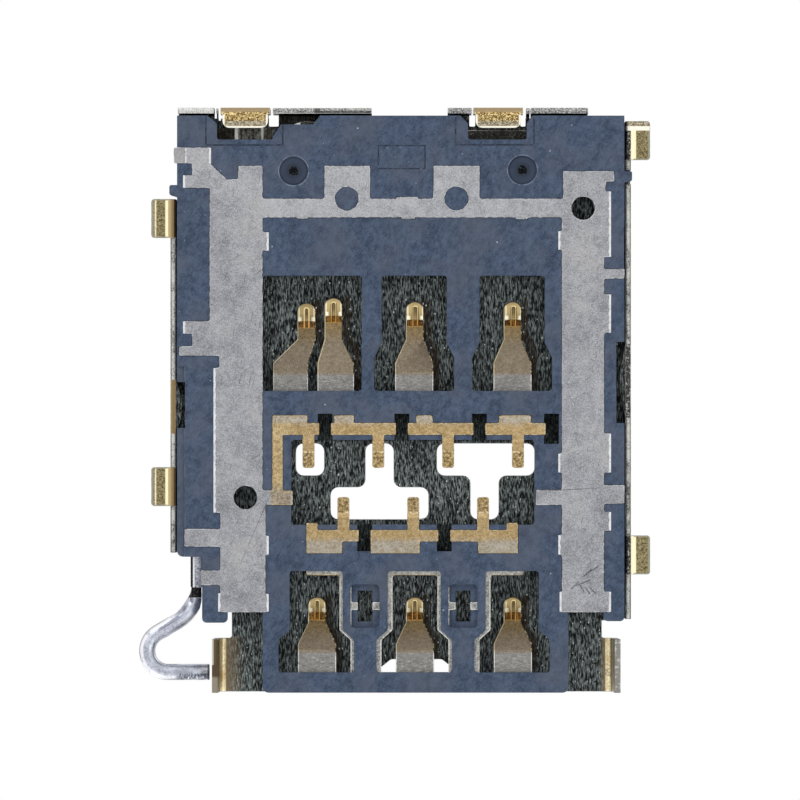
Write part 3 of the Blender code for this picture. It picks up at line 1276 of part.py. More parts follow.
def make_lever(shop):
    """Eject lever: a flat stamping with a hub, a notched short arm and a long arm for the tray."""
    end = SHORT_ARM + SHORT_ARM_END
    notch_half = ROD_WIDTH / 2 + NOTCH_SLACK + RUNNING_FIT
    inner = end - NOTCH_DEPTH
    long_angle = math.pi - math.radians(LONG_ARM_RISE)
    full = inner - SHORT_ARM_NECK
    short_arm = [
        (ARM_ROOT, SHORT_ARM_ROOT_HALF, 0.0),
        (full, SHORT_ARM_HALF, ARM_NECK_RADIUS),
        (end, SHORT_ARM_HALF, ARM_CORNER_RADIUS),
        (end, notch_half, NOTCH_MOUTH_RADIUS),
        (inner, notch_half, ARM_CORNER_RADIUS),
        (inner, -notch_half, ARM_CORNER_RADIUS),
        (end, -notch_half, NOTCH_MOUTH_RADIUS),
        (end, -SHORT_ARM_HALF, ARM_CORNER_RADIUS),
        (full, -SHORT_ARM_HALF, ARM_NECK_RADIUS),
        (ARM_ROOT, -ARM_ROOT, 0.0),
    ]
    long_arm = [
        (ARM_ROOT, LONG_ARM_ROOT_HALF, LONG_ARM_ROOT_RADIUS),
        (LONG_ARM, LONG_ARM_TIP_HALF, LONG_ARM_TIP_RADIUS),
        (LONG_ARM, -LONG_ARM_TIP_HALF, LONG_ARM_TIP_RADIUS),
        (ARM_ROOT, -LONG_ARM_ROOT_HALF, 0.0),
    ]
    corners = lever_corners(short_arm, LEVER_REST) + lever_corners(long_arm, long_angle)
    outline = rounded(corners)
    low = ROD_LEVEL - LEVER_SHEET / 2
    high = low + LEVER_SHEET
    arms = shop.flat([outline], low, high, "Z", "arms")
    hub = shop.flat([circle_outline(PIVOT_X, PIVOT_Y, HUB_RADIUS)], low, high, "Z", "hub")
    bore = circle_outline(PIVOT_X, PIVOT_Y, POST_RADIUS + RUNNING_FIT)
    hole = shop.flat([bore], low - LAP, high + LAP)
    shop.combine(arms, "UNION", [hub])
    return shop.combine(arms, "DIFFERENCE", [hole])


def main():
    """Build every piece and hang it on the seat."""
    clear_scene()
    shop = Workshop()
    seat = bpy.data.objects.new("board_seat", None)
    shop.part.objects.link(seat)
    plastic = make_material("blue_moulding", *PLASTIC_LOOK)
    tinned = make_material("tinned_frame", *TIN_LOOK)
    gold = make_material("gold_contact", *GOLD_LOOK)
    steel = make_material("cover_steel", *STEEL_LOOK)
    wire = make_material("rod_steel", *WIRE_LOOK)

    rear_plans = rear_terminal_plans()
    rear_lines = [rear_sheet_line(shift) for shift in TIP_SHIFTS]
    front_plans = front_terminal_plans()
    metal = [ground_frame(shop, rear_plans[0], MOULD_FIT, "frame_room")]
    metal += [bent_piece(shop, plan, line, MOULD_FIT, "rear_room")
              for plan, line in zip(rear_plans[1:], rear_lines[1:])]
    metal += [front_terminal(shop, shapes, column, MOULD_FIT, "front_room")
              for shapes, column in zip(front_plans, COLUMNS)]

    shop.publish(make_housing(shop, metal), "housing", plastic, seat)
    frame = ground_frame(shop, rear_plans[0], 0, "frame")
    shop.publish(frame, "ground_frame", tinned, seat)
    for number, (plan, line) in enumerate(zip(rear_plans[1:], rear_lines[1:]), start=2):
        item = bent_piece(shop, plan, line, 0, "rear")
        shop.publish(item, f"rear_contact_{number}", gold, seat)
    for number, (shapes, column) in enumerate(zip(front_plans, COLUMNS), start=1):
        item = front_terminal(shop, shapes, column, 0, "front")
        shop.publish(item, f"front_contact_{number}", gold, seat)
    shop.publish(make_cover(shop), "cover_shell", steel, seat)
    shop.publish(make_rod(shop), "push_rod", wire, seat, (ROD_X, FINGER_Y, ROD_LEVEL))
    shop.publish(make_lever(shop), "eject_lever", steel, seat, (PIVOT_X, PIVOT_Y, ROD_LEVEL))


main()
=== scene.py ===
"""Looks of a board-mounted card tray socket, seen from its solder side.

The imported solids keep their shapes. This script gives them soft edges and node materials, adds the
small marks that the real piece carries, and sets the light, the floor and the camera. Shader sizes
are in millimetres, object places in metres, and colours in sRGB from 0 to 255.
"""

import logging
import math
from collections.abc import Callable
from dataclasses import dataclass
from enum import Enum

import bpy
import numpy as np
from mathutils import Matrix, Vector


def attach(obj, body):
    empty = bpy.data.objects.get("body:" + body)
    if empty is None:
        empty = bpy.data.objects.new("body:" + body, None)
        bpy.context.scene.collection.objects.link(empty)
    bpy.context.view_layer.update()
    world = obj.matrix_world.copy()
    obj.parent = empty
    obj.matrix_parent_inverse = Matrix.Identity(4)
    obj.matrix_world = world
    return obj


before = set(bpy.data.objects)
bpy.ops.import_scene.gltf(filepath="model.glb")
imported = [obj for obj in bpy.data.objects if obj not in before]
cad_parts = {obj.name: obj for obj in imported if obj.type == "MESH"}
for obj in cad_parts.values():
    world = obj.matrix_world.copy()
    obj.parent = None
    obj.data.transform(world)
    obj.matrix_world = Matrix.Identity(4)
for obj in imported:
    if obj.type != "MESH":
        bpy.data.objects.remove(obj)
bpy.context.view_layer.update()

log = logging.getLogger("socket_looks")

MM = 0.001
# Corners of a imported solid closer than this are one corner, in millimetres
JOINED = 0.0001
# Edges sharper than this are rounded, in degrees
SHARP = 40


class Body(Enum):
    """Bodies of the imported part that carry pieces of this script."""

    SOCKET = "socket"


@dataclass(frozen=True)
class Photo:
    """Turns pixels of the 800 pixel photograph into millimetres of the part."""

    centre_x: float = 400.7
    centre_y: float = 400.2
    per_mm: float = 38.58
    width: float = 800.0

    def x(self, pixel: float) -> float:
        """Millimetres along X at a pixel column."""
        return (self.centre_x - pixel) / self.per_mm

    def y(self, pixel: float) -> float:
        """Millimetres along Y at a pixel row."""
        return (self.centre_y - pixel) / self.per_mm


PHOTO = Photo()


def srgb(red: float, green: float, blue: float) -> tuple[float, float, float]:
    """Linear colour of an sRGB colour given from 0 to 255."""
    def linear(value: float) -> float:
        """Linear value of one channel."""
        value /= 255
        return value / 12.92 if value <= 0.04045 else ((value + 0.055) / 1.055) ** 2.4
    return linear(red), linear(green), linear(blue)


def operator(operation: str, reflected: bool = False) -> Callable[["Signal", "Value"], "Signal"]:
    """Method of Signal that adds one Math node, with its own value second where it is reflected."""
    def apply(self: "Signal", other: "Value" = 0.0) -> "Signal":
        """Add the node and give its result."""
        return self.nodes.math(operation, *((other, self) if reflected else (self, other)))
    return apply


class Signal:
    """Output socket of a shader node, usable in arithmetic with numbers and other signals."""

    __add__, __radd__ = operator("ADD"), operator("ADD", True)
    __sub__, __rsub__ = operator("SUBTRACT"), operator("SUBTRACT", True)
    __mul__, __rmul__ = operator("MULTIPLY"), operator("MULTIPLY", True)
    __pow__, __or__, __abs__ = operator("POWER"), operator("MAXIMUM"), operator("ABSOLUTE")

    def __init__(self, nodes: "Nodes", socket: bpy.types.NodeSocket) -> None:
        """Keep the tree and the socket."""
        self.nodes = nodes
        self.socket = socket


Value = Signal | float
Colour = Signal | tuple[float, float, float]


class Nodes:
    """Node tree of one Principled material, with short calls for the nodes used here."""

    def __init__(self, name: str) -> None:
        """Make the material and its place in millimetres."""
        self.material = bpy.data.materials.new(name)
        self.material.use_nodes = True
        self.tree = self.material.node_tree
        self.shader = self.tree.nodes["Principled BSDF"]
        self.coordinates = self.add("ShaderNodeTexCoord")
        scaled = self.add("ShaderNodeVectorMath", {"operation": "SCALE"},
                          {0: self.coordinates.outputs["Object"], "Scale": 1 / MM})
        self.place = Signal(self, scaled.outputs["Vector"])
        split = self.add("ShaderNodeSeparateXYZ", sockets={0: self.place})
        self.x, self.y, self.z = (Signal(self, split.outputs[axis]) for axis in "XYZ")

    def add(self, kind: str, settings: dict | None = None, sockets: dict | None = None) -> bpy.types.Node:
        """Add a node.

        Args:
            kind: Node type.
            settings: Attributes of the node.
            sockets: Inputs by name or number, as numbers, colours, signals or sockets.

        Returns:
            The new node.
        """
        node = self.tree.nodes.new(kind)
        for key, value in (settings or {}).items():
            setattr(node, key, value)
        for key, value in (sockets or {}).items():
            self.plug(node.inputs[key], value)
        return node

    def plug(self, target: bpy.types.NodeSocket, value: Value | Colour | bpy.types.NodeSocket) -> None:
        """Link a signal to an input, or set the input to a constant."""
        if isinstance(value, Signal):
            value = value.socket
        if isinstance(value, bpy.types.NodeSocket):
            self.tree.links.new(value, target)
        elif isinstance(value, (tuple, list)) and target.type == "RGBA" and len(value) == 3:
            target.default_value = (*value, 1.0)
        else:
            target.default_value = value

    def set(self, **inputs) -> None:
        """Set inputs of the Principled shader, with spaces written as underscores."""
        for key, value in inputs.items():
            self.plug(self.shader.inputs[key.replace("_", " ")], value)

    def math(self, operation: str, first: Value, second: Value = 0.0) -> Signal:
        """One Math node."""
        node = self.add("ShaderNodeMath", {"operation": operation}, {0: first, 1: second})
        return Signal(self, node.outputs[0])

    def vector(self, operation: str, first: Colour, second: Colour, output: str = "Vector") -> Signal:
        """One Vector Math node."""
        node = self.add("ShaderNodeVectorMath", {"operation": operation}, {0: first, 1: second})
        return Signal(self, node.outputs[output])

    def mix(self, first: Colour, second: Colour, factor: Value) -> Signal:
        """Colour between two colours."""
        node = self.add("ShaderNodeMix", {"data_type": "RGBA"}, {0: factor, 6: first, 7: second})
        return Signal(self, node.outputs[2])

    def blend(self, first: tuple, second: tuple, signal: Value, low: float, high: float) -> Signal:
        """From one sRGB colour to another as a signal passes from low to high."""
        return self.mix(srgb(*first), srgb(*second), self.step(signal, low, high))

    def coats(self, colour: Signal, *layers: tuple[tuple | Signal, Value]) -> Signal:
        """Lay paints over a colour in turn.

        Args:
            colour: What lies below.
            layers: Paint, as an sRGB colour or a signal, and its mask.

        Returns:
            The painted colour.
        """
        for paint, mask in layers:
            colour = self.mix(colour, srgb(*paint) if isinstance(paint, tuple) else paint, mask)
        return colour

    def step(self, signal: Value, low: float, high: float, start: float = 0.0, end: float = 1.0) -> Signal:
        """Smooth step of a signal from start to end between low and high."""
        node = self.add("ShaderNodeMapRange", {"interpolation_type": "SMOOTHSTEP"},
                        {0: signal, 1: low, 2: high, 3: start, 4: end})
        return Signal(self, node.outputs[0])

    def band(self, signal: Value, low: float, high: float, soft: float) -> Signal:
        """One inside a band, zero outside, with soft borders."""
        return self.step(signal, low - soft, low + soft) * self.step(signal, high - soft, high + soft, 1, 0)

    def area(self, x: tuple[float, float], y: tuple[float, float], soft: float = 0.015) -> Signal:
        """One inside a rectangle of X and Y."""
        return self.band(self.x, min(x), max(x), soft) * self.band(self.y, min(y), max(y), soft)

    def pixels(self, left: float, top: float, right: float, bottom: float, soft: float = 0.015) -> Signal:
        """One inside a rectangle given by its edges in the photograph."""
        return self.area((PHOTO.x(left), PHOTO.x(right)), (PHOTO.y(top), PHOTO.y(bottom)), soft)

    def frame_line(self, left: float, top: float, right: float, bottom: float, width: float) -> Signal:
        """Thin lines along the edges of a rectangle given in the photograph."""
        outside = self.pixels(left - width, top - width, right + width, bottom + width, 0.01)
        return outside * (1.0 - self.pixels(left + width, top + width, right - width, bottom - width, 0.01))

    def disc(self, x: float, y: float, radius: float, soft: float = 0.015) -> Signal:
        """One inside a disc."""
        squares = (self.x - x) ** 2.0 + (self.y - y) ** 2.0
        return self.step(squares ** 0.5, radius - soft, radius + soft, 1, 0)

    def stretched(self, along: tuple[float, float, float], turn: float = 0.0) -> Signal:
        """Place scaled by each axis after a turn about Z, for grain with a direction."""
        node = self.add("ShaderNodeMapping", {"vector_type": "POINT"},
                        {"Vector": self.place, "Rotation": (0, 0, turn)})
        return self.vector("MULTIPLY", node.outputs[0], along)

    def noise(self, scale: float, detail: float = 3.0, rough: float = 0.55,
              at: Signal | None = None) -> Signal:
        """Noise from 0 to 1; scale is features to a millimetre."""
        node = self.add("ShaderNodeTexNoise", sockets={
            "Vector": at or self.place, "Scale": scale, "Detail": detail, "Roughness": rough})
        return Signal(self, node.outputs["Fac"])

    def specks(self, scale: float, size: float, share: float, at: Signal | None = None) -> Signal:
        """Small round specks in a share of the cells of a random grid."""
        node = self.add("ShaderNodeTexVoronoi", sockets={"Vector": at or self.place, "Scale": scale})
        cell = self.add("ShaderNodeSeparateColor", sockets={0: node.outputs["Color"]})
        chosen = self.math("LESS_THAN", Signal(self, cell.outputs[0]), share)
        return self.step(Signal(self, node.outputs["Distance"]), size * 0.5, size, 1, 0) * chosen

    def scratches(self, turn: float, scale: float, amount: float) -> Signal:
        """Thin broken lines in one direction."""
        lines = self.noise(scale, 2.0, 0.5, self.stretched((1.0, 26.0, 1.0), turn))
        breaks = self.noise(scale * 2.2, 1.0)
        edge = 0.70 - amount
        return self.step(lines, edge, edge + 0.03) * self.step(breaks, 0.52, 0.60)

    def stroke(self, x0: float, y0: float, x1: float, y1: float, width: float) -> Signal:
        """One along a straight scratch between two pixels of the photograph."""
        start = Vector((PHOTO.x(x0), PHOTO.y(y0)))
        along = Vector((PHOTO.x(x1), PHOTO.y(y1))) - start
        side = Vector((-along.y, along.x)).normalized()
        forward = along.normalized()
        reach = (self.x - start.x) * forward.x + (self.y - start.y) * forward.y
        offset = abs((self.x - start.x) * side.x + (self.y - start.y) * side.y)
        return self.band(reach, 0.0, along.length, 0.02) * self.step(offset, width * 0.4, width, 1, 0)

    @staticmethod
    def either(masks: list[Signal]) -> Signal:
        """The largest of several masks."""
        whole = masks[0]
        for mask in masks[1:]:
            whole = whole | mask
        return whole

    def bump(self, height: Signal, distance: float, strength: float = 1.0) -> None:
        """Bump of the shader's normal; distance is in millimetres."""
        node = self.add("ShaderNodeBump", sockets={
            "Height": height, "Distance": distance * MM, "Strength": strength})
        self.plug(self.shader.inputs["Normal"], node.outputs[0])


@dataclass(frozen=True)
class MouldedPlastic:
    """Blue-grey filled plastic: mottled, with pale fibre specks, tool lines and gate marks."""

    dark: tuple = (38, 52, 74)
    light: tuple = (84, 100, 125)
    grey: tuple = (88, 94, 106)
    speck: tuple = (196, 206, 220)
    line: tuple = (24, 33, 50)
    gates: tuple = ((293.6, 170.9), (522.5, 169.9))

    def build(self) -> bpy.types.Material:
        """Returns the material."""
        n = Nodes("moulded_plastic")
        cloud = n.noise(1.6, 4.0, 0.62)
        mottle = n.noise(6.5, 4.0, 0.68)
        grain = n.noise(24.0, 3.0, 0.7)
        fibre = n.noise(7.0, 4.0, 0.7, n.stretched((1.0, 3.2, 1.0), 1.1))
        tone = cloud * 0.35 + mottle * 0.75 + grain * 0.55 + fibre * 0.55 - 0.60
        colour = n.blend(self.dark, self.light, tone, 0.20, 0.80)
        colour = n.coats(
            colour,
            (self.grey, n.step(n.noise(0.8, 2.0), 0.42, 0.68, 0.0, 0.45)),
            ((96, 104, 116), self.edge_strip(n)),
            (self.line, self.tool_lines(n, mottle)))
        colour = self.gate_discs(n, colour, mottle)
        specks = n.specks(3.6, 0.11, 0.07) + n.specks(7.5, 0.12, 0.05) * 0.8
        worn = n.specks(9.0, 0.32, 0.30) * n.pixels(378, 146, 425, 168)
        colour = n.coats(
            colour,
            (self.speck, specks * n.step(grain, 0.35, 0.6)),
            ((120, 134, 156), worn * 0.55))
        n.set(Base_Color=colour, Roughness=n.step(grain, 0.3, 0.7, 0.46, 0.62), Specular_IOR_Level=0.3)
        n.bump(grain * 0.6 + mottle * 0.4, 0.010, 0.45)
        return n.material

    def gate_discs(self, n: Nodes, colour: Signal, mottle: Signal) -> Signal:
        """Dark discs round the gates, each inside a darker groove and a light ring."""
        for column, row in self.gates:
            x, y = PHOTO.x(column), PHOTO.y(row)
            groove = n.disc(x, y, 0.372, 0.01) * (1.0 - n.disc(x, y, 0.325, 0.01))
            ring = n.disc(x, y, 0.400, 0.008) * (1.0 - n.disc(x, y, 0.378, 0.008))
            colour = n.coats(
                colour,
                ((38, 50, 70), n.disc(x, y, 0.37) * 0.80),
                ((22, 30, 46), groove * 0.55),
                ((128, 142, 164), ring * n.step(mottle, 0.36, 0.60)),
                ((18, 24, 36), n.disc(x, y, 0.20, 0.06) * 0.55))
        return colour

    def edge_strip(self, n: Nodes) -> Signal:
        """Paler strip along the rod's side, with a bright line at its inner border."""
        strip = n.pixels(176, 366.7, 184.2, 557, 0.01) * 0.35
        line = n.pixels(183.6, 366.7, 185.4, 557, 0.012) * n.step(n.noise(5.0, 3.0, 0.7), 0.38, 0.6)
        return strip | line

    def tool_lines(self, n: Nodes, breaks: Signal) -> Signal:
        """Fine dark lines where the mould's inserts meet."""
        left = n.frame_line(205.8, 90, 282.7, 145.0, 0.85) * n.step(n.y, PHOTO.y(117), PHOTO.y(115), 1, 0)
        right = n.frame_line(455.6, 90, 534.0, 144.7, 0.85) * n.step(n.y, PHOTO.y(118), PHOTO.y(116), 1, 0)
        middle = n.frame_line(378.5, 145.5, 425.0, 168.5, 0.7)
        return (left | right | middle) * n.step(breaks, 0.36, 0.58, 0.20, 1.0)


@dataclass(frozen=True)
class ContactZones:
    """Where one contact changes its finish along Y, all in millimetres."""

    name: str
    column: float
    dome_end: float
    dome_start: float
    band_start: float
    bend: float
    root: float
    flat: tuple[float, float]
    grey_flat: tuple[float, float]
    tail_bend: float
    tail_end: float

    def paint(self, n: Nodes) -> tuple[Signal, Signal]:
        """Colour the strip from its root to its tip, its flat and its tail.

        Args:
            n: Nodes of the material.

        Returns:
            The colour, and the height of the stamped groove on the dome.
        """
        patch = n.noise(3.2, 4.0, 0.62)
        grain = n.noise(34.0, 3.0, 0.65)
        mid = n.noise(13.0, 3.0, 0.65)
        mixed = grain * 0.6 + mid * 0.4 + patch * 0.15
        tone = n.step(mixed, 0.42, 0.76)
        beam = n.mix(srgb(102, 91, 76), srgb(141, 129, 111), tone)
        neck = n.step(n.y, self.band_start - 0.60, self.band_start - 0.05)
        across = n.noise(28.0, 2.0, 0.6, n.stretched((0.30, 1.4, 1.0)))
        root_tone = n.step(mixed * 0.7 + across * 0.35, 0.42, 0.78)
        root = n.mix(srgb(104, 103, 102), srgb(158, 156, 151), root_tone)
        root = n.mix(root, srgb(206, 205, 200), n.step(across, 0.62, 0.70) * 0.35)
        specks = n.specks(9.0, 0.12, 0.10) + n.specks(16.0, 0.2, 0.10) * 0.8
        # Painted glints: pale specks on the root near its bend
        bend_glint_zone = n.band(n.y, min(self.root, self.bend), self.bend + 0.05, 0.06)
        bend_glint_zone = bend_glint_zone * n.step(n.y, self.root, self.bend, 0.4, 1)
        root = n.mix(root, srgb(226, 226, 222), specks * bend_glint_zone)
        beam = n.coats(
            beam,
            (n.mix(srgb(92, 74, 44), srgb(150, 128, 84), tone), neck * 0.75),
            ((214, 208, 186), specks * 0.30))
        on_root = n.step(n.y, self.bend - 0.05, self.bend + 0.05, 1, 0)
        colour = n.mix(beam, root, on_root)
        colour, groove = self.dome(n, colour, grain)
        return self.flat_and_tail(n, colour, patch, mid, mixed), groove

    def dome(self, n: Nodes, colour: Signal, grain: Signal) -> tuple[Signal, Signal]:
        """Gold dome with a stamped groove and the deep band below it, with painted shade, highlights and
        shadow.
        """
        across = abs(n.x - self.column)
        groove_top = self.dome_start + (self.dome_end - self.dome_start) * 0.62
        beyond = n.math("MAXIMUM", n.y - groove_top, 0.0)
        capsule = (across * across + beyond * beyond) ** 0.5
        line = n.band(capsule, 0.045, 0.075, 0.012)
        # Painted shade: the dome is darker towards its upper end, with a lighter patch inside the groove
        dome_painted_shade = n.band(n.y, self.dome_start + 0.12, self.dome_end - 0.05, 0.08)
        gold = n.mix(srgb(146, 126, 84), srgb(100, 84, 52), dome_painted_shade * n.step(across, 0.15, 0.20, 1, 0.2))
        gold = n.coats(
            gold,
            ((180, 160, 114), n.step(grain, 0.45, 0.75) * 0.3),
            ((206, 184, 132), n.step(capsule, 0.050, 0.035, 1, 0) * dome_painted_shade * 0.6))
        streaks = n.noise(9.0, 2.0, 0.6, n.stretched((1.6, 0.4, 1.0)))
        band = n.blend((46, 28, 8), (142, 100, 44), grain * 0.6 + streaks * 0.5, 0.46, 0.72)
        band = n.mix(band, srgb(44, 28, 10), n.step(across, 0.17, 0.22) * 0.8)
        on_band = n.band(n.y, self.band_start, self.dome_start, 0.012)
        on_dome = n.band(n.y, self.dome_start, self.dome_end + 0.2, 0.012)
        colour = n.mix(colour, band, on_band)
        # Painted highlights: bright groove lines, cream-white sides and lower corners of the dome
        bright = n.mix(srgb(222, 168, 88), srgb(244, 222, 168), on_dome)
        rim = n.band(across, 0.180, 0.205, 0.012) * n.band(n.y, self.dome_start, self.dome_end - 0.10, 0.05)
        corner = n.step(across, 0.10, 0.16) * n.band(n.y, self.dome_start, self.dome_start + 0.10, 0.02)
        lower = n.band(n.y, self.band_start - 0.010, self.band_start + 0.015, 0.008)
        colour = n.coats(
            colour,
            (gold, on_dome),
            (bright, line * (on_band | on_dome) * 0.9),
            ((255, 244, 212), rim * 0.8),
            ((255, 250, 224), corner * 0.8),
            # Painted shadow along the dome's edges
            ((70, 52, 24), n.step(across, 0.215, 0.225) * on_dome * 0.8),
            ((176, 136, 72), lower * n.step(across, 0.20, 0.23, 1, 0) * 0.55))
        return colour, line * (on_band | on_dome)

    def flat_and_tail(self, n: Nodes, colour: Signal, patch: Signal, mid: Signal, mixed: Signal) -> Signal:
        """Tan flat that fades to grey, and the speckled tail that is soldered, with a painted highlight on
        its bend.
        """
        tan = n.blend((140, 116, 74), (196, 172, 130), mixed, 0.42, 0.74)
        pale = n.blend((140, 134, 122), (186, 180, 168), mixed, 0.42, 0.74)
        pale_mask = n.band(n.y + patch * 0.24 - 0.12, min(self.grey_flat), max(self.grey_flat), 0.10)
        flat = n.mix(tan, pale, pale_mask * n.step(mid, 0.30, 0.60, 0.55, 0.95))
        low, high = sorted((self.tail_bend, self.tail_end))
        tail = n.blend((86, 68, 38), (202, 178, 128), mid * 0.7 + mixed * 0.4, 0.46, 0.74)
        # Painted highlight along the tail's bend line
        bend = n.band(n.y, self.tail_bend - 0.018, self.tail_bend + 0.018, 0.012)
        return n.coats(
            colour,
            (flat, n.band(n.y, min(self.flat), max(self.flat), 0.02)),
            (tail, n.band(n.y, low, high, 0.03) * 0.85),
            ((232, 216, 176), bend * n.step(mid, 0.4, 0.55) * 0.8))


@dataclass(frozen=True)
class GoldContact:
    """Gold-plated strip with its own zones."""

    zones: ContactZones

    def build(self) -> bpy.types.Material:
        """Returns the material."""
        n = Nodes("gold_" + self.zones.name)
        colour, groove = self.zones.paint(n)
        fine = n.noise(42.0, 3.0, 0.65)
        colour = self.loops(n, colour, fine)
        n.set(Base_Color=colour, Metallic=0.85,
              Roughness=n.step(n.y, self.zones.dome_start - 0.02, self.zones.dome_start + 0.02, 0.44, 0.30))
        n.bump(fine * 0.15 + groove, 0.02, 0.8)
        return n.material

    def loops(self, n: Nodes, colour: Signal, fine: Signal) -> Signal:
        """Grey rims and tie ends of the strip round a front window."""
        if not self.zones.name.startswith("front"):
            return colour
        across = abs(n.x - self.zones.column)
        wide = n.step(n.y, PHOTO.y(628), PHOTO.y(640), 0.56, 0.80)
        aside = n.math("GREATER_THAN", across, wide)
        below_flat = n.step(n.y, PHOTO.y(566), PHOTO.y(562), 1, 0)
        above = n.step(n.y, PHOTO.y(586), PHOTO.y(584)) * below_flat
        silver = n.blend((92, 92, 90), (198, 198, 192), fine + n.noise(9.0) * 0.5, 0.55, 0.95)
        return n.mix(colour, silver, (aside | above) * below_flat)


@dataclass(frozen=True)
class PlatedSheet:
    """Cool grey plated sheet with clouded stains, fine grain and scratches; its first contact is gold."""

    zones: ContactZones
    dark: tuple = (104, 106, 111)
    light: tuple = (188, 189, 193)
    pencil: tuple = ((571, 589, 579, 582), (576, 586, 590, 580), (580, 585, 584, 592), (585, 587, 590, 594),
                     (590, 588, 596, 594), (588, 573, 599, 566), (583, 577, 592, 569))

    def build(self) -> bpy.types.Material:
        """Returns the material."""
        n = Nodes("plated_sheet")
        cloud = n.noise(0.9, 4.0, 0.6)
        patch = n.noise(4.0, 5.0, 0.72)
        mid = n.noise(12.0, 3.0, 0.65)
        grain = n.noise(34.0, 3.0, 0.65)
        smudge = n.step(n.noise(2.6, 5.0, 0.75, n.stretched((1.0, 0.6, 1.0))), 0.56, 0.70)
        tone = cloud * 0.35 + patch * 0.30 + mid * 0.20 + grain * 0.75 - 0.30 - smudge * 0.05
        rear_bar = n.area((-4.1, 3.6), (4.70, 6.2), 0.15) * 0.06
        tone = tone + rear_bar + n.area((3.4, 6.0), (5.2, 6.6), 0.2) * 0.03
        colour = n.blend(self.dark, self.light, tone, 0.22, 0.78)
        link = n.area((2.85, 3.36), (-2.72, -0.60), 0.02)
        contact, groove = self.zones.paint(n)
        on_contact = n.area((1.85, 3.34), (-0.32, 2.62), 0.01) * n.step(n.z, 0.10, 0.16)
        tail = n.area((2.2, 2.58), (-1.80, -0.88), 0.01)
        on_flat = n.area((2.0, 3.36), (-0.92, -0.38), 0.02)
        link_tone = n.step(mid * 0.6 + grain * 0.5, 0.42, 0.70)
        grey_tan = n.mix(srgb(118, 110, 98), srgb(172, 162, 146), link_tone)
        scratch = n.scratches(0.5, 1.4, 0.05) | n.scratches(-0.7, 1.1, 0.04) | n.scratches(1.35, 1.2, 0.05)
        hair = n.scratches(0.1, 2.6, 0.06) | n.scratches(-1.1, 2.3, 0.05) | n.scratches(0.9, 2.9, 0.05)
        tab = n.pixels(173, 147, 185.2, 163, 0.01)
        # Painted highlight: a bright line along the crease beside the tab
        crease_highlight = n.pixels(185.2, 148, 186.3, 162, 0.008) * n.step(mid, 0.40, 0.55)
        colour = n.coats(
            colour,
            ((168, 164, 160), n.step(cloud, 0.5, 0.7, 0.0, 0.30)),
            (contact, on_contact | tail | on_flat),
            (n.mix(srgb(150, 128, 86), srgb(206, 184, 142), link_tone), link),
            (grey_tan, link * n.step(n.y, -2.10, -2.45) * 0.85),
            ((74, 72, 72), scratch * 0.60),
            ((96, 94, 94), hair * 0.45),
            ((140, 138, 136), tab * 0.35),
            ((232, 232, 234), crease_highlight * 0.8))
        for stroke in self.pencil:
            colour = n.mix(colour, srgb(66, 68, 74), n.stroke(*stroke, 0.022) * n.step(grain, 0.38, 0.55))
        pits = n.specks(5.0, 0.12, 0.16) + n.specks(12.0, 0.18, 0.14) + n.specks(2.6, 0.06, 0.16)
        glints = n.specks(6.5, 0.09, 0.10) + n.specks(14.0, 0.16, 0.06)
        colour = n.coats(
            colour,
            ((74, 74, 78), pits * 0.6),
            ((230, 232, 238), glints * 0.7))
        n.set(Base_Color=colour, Metallic=0.7, Roughness=n.step(patch, 0.3, 0.7, 0.46, 0.60))
        n.bump(grain * 0.5 + mid * 0.15 - scratch * 0.3 + groove, 0.008, 0.4)
        return n.material


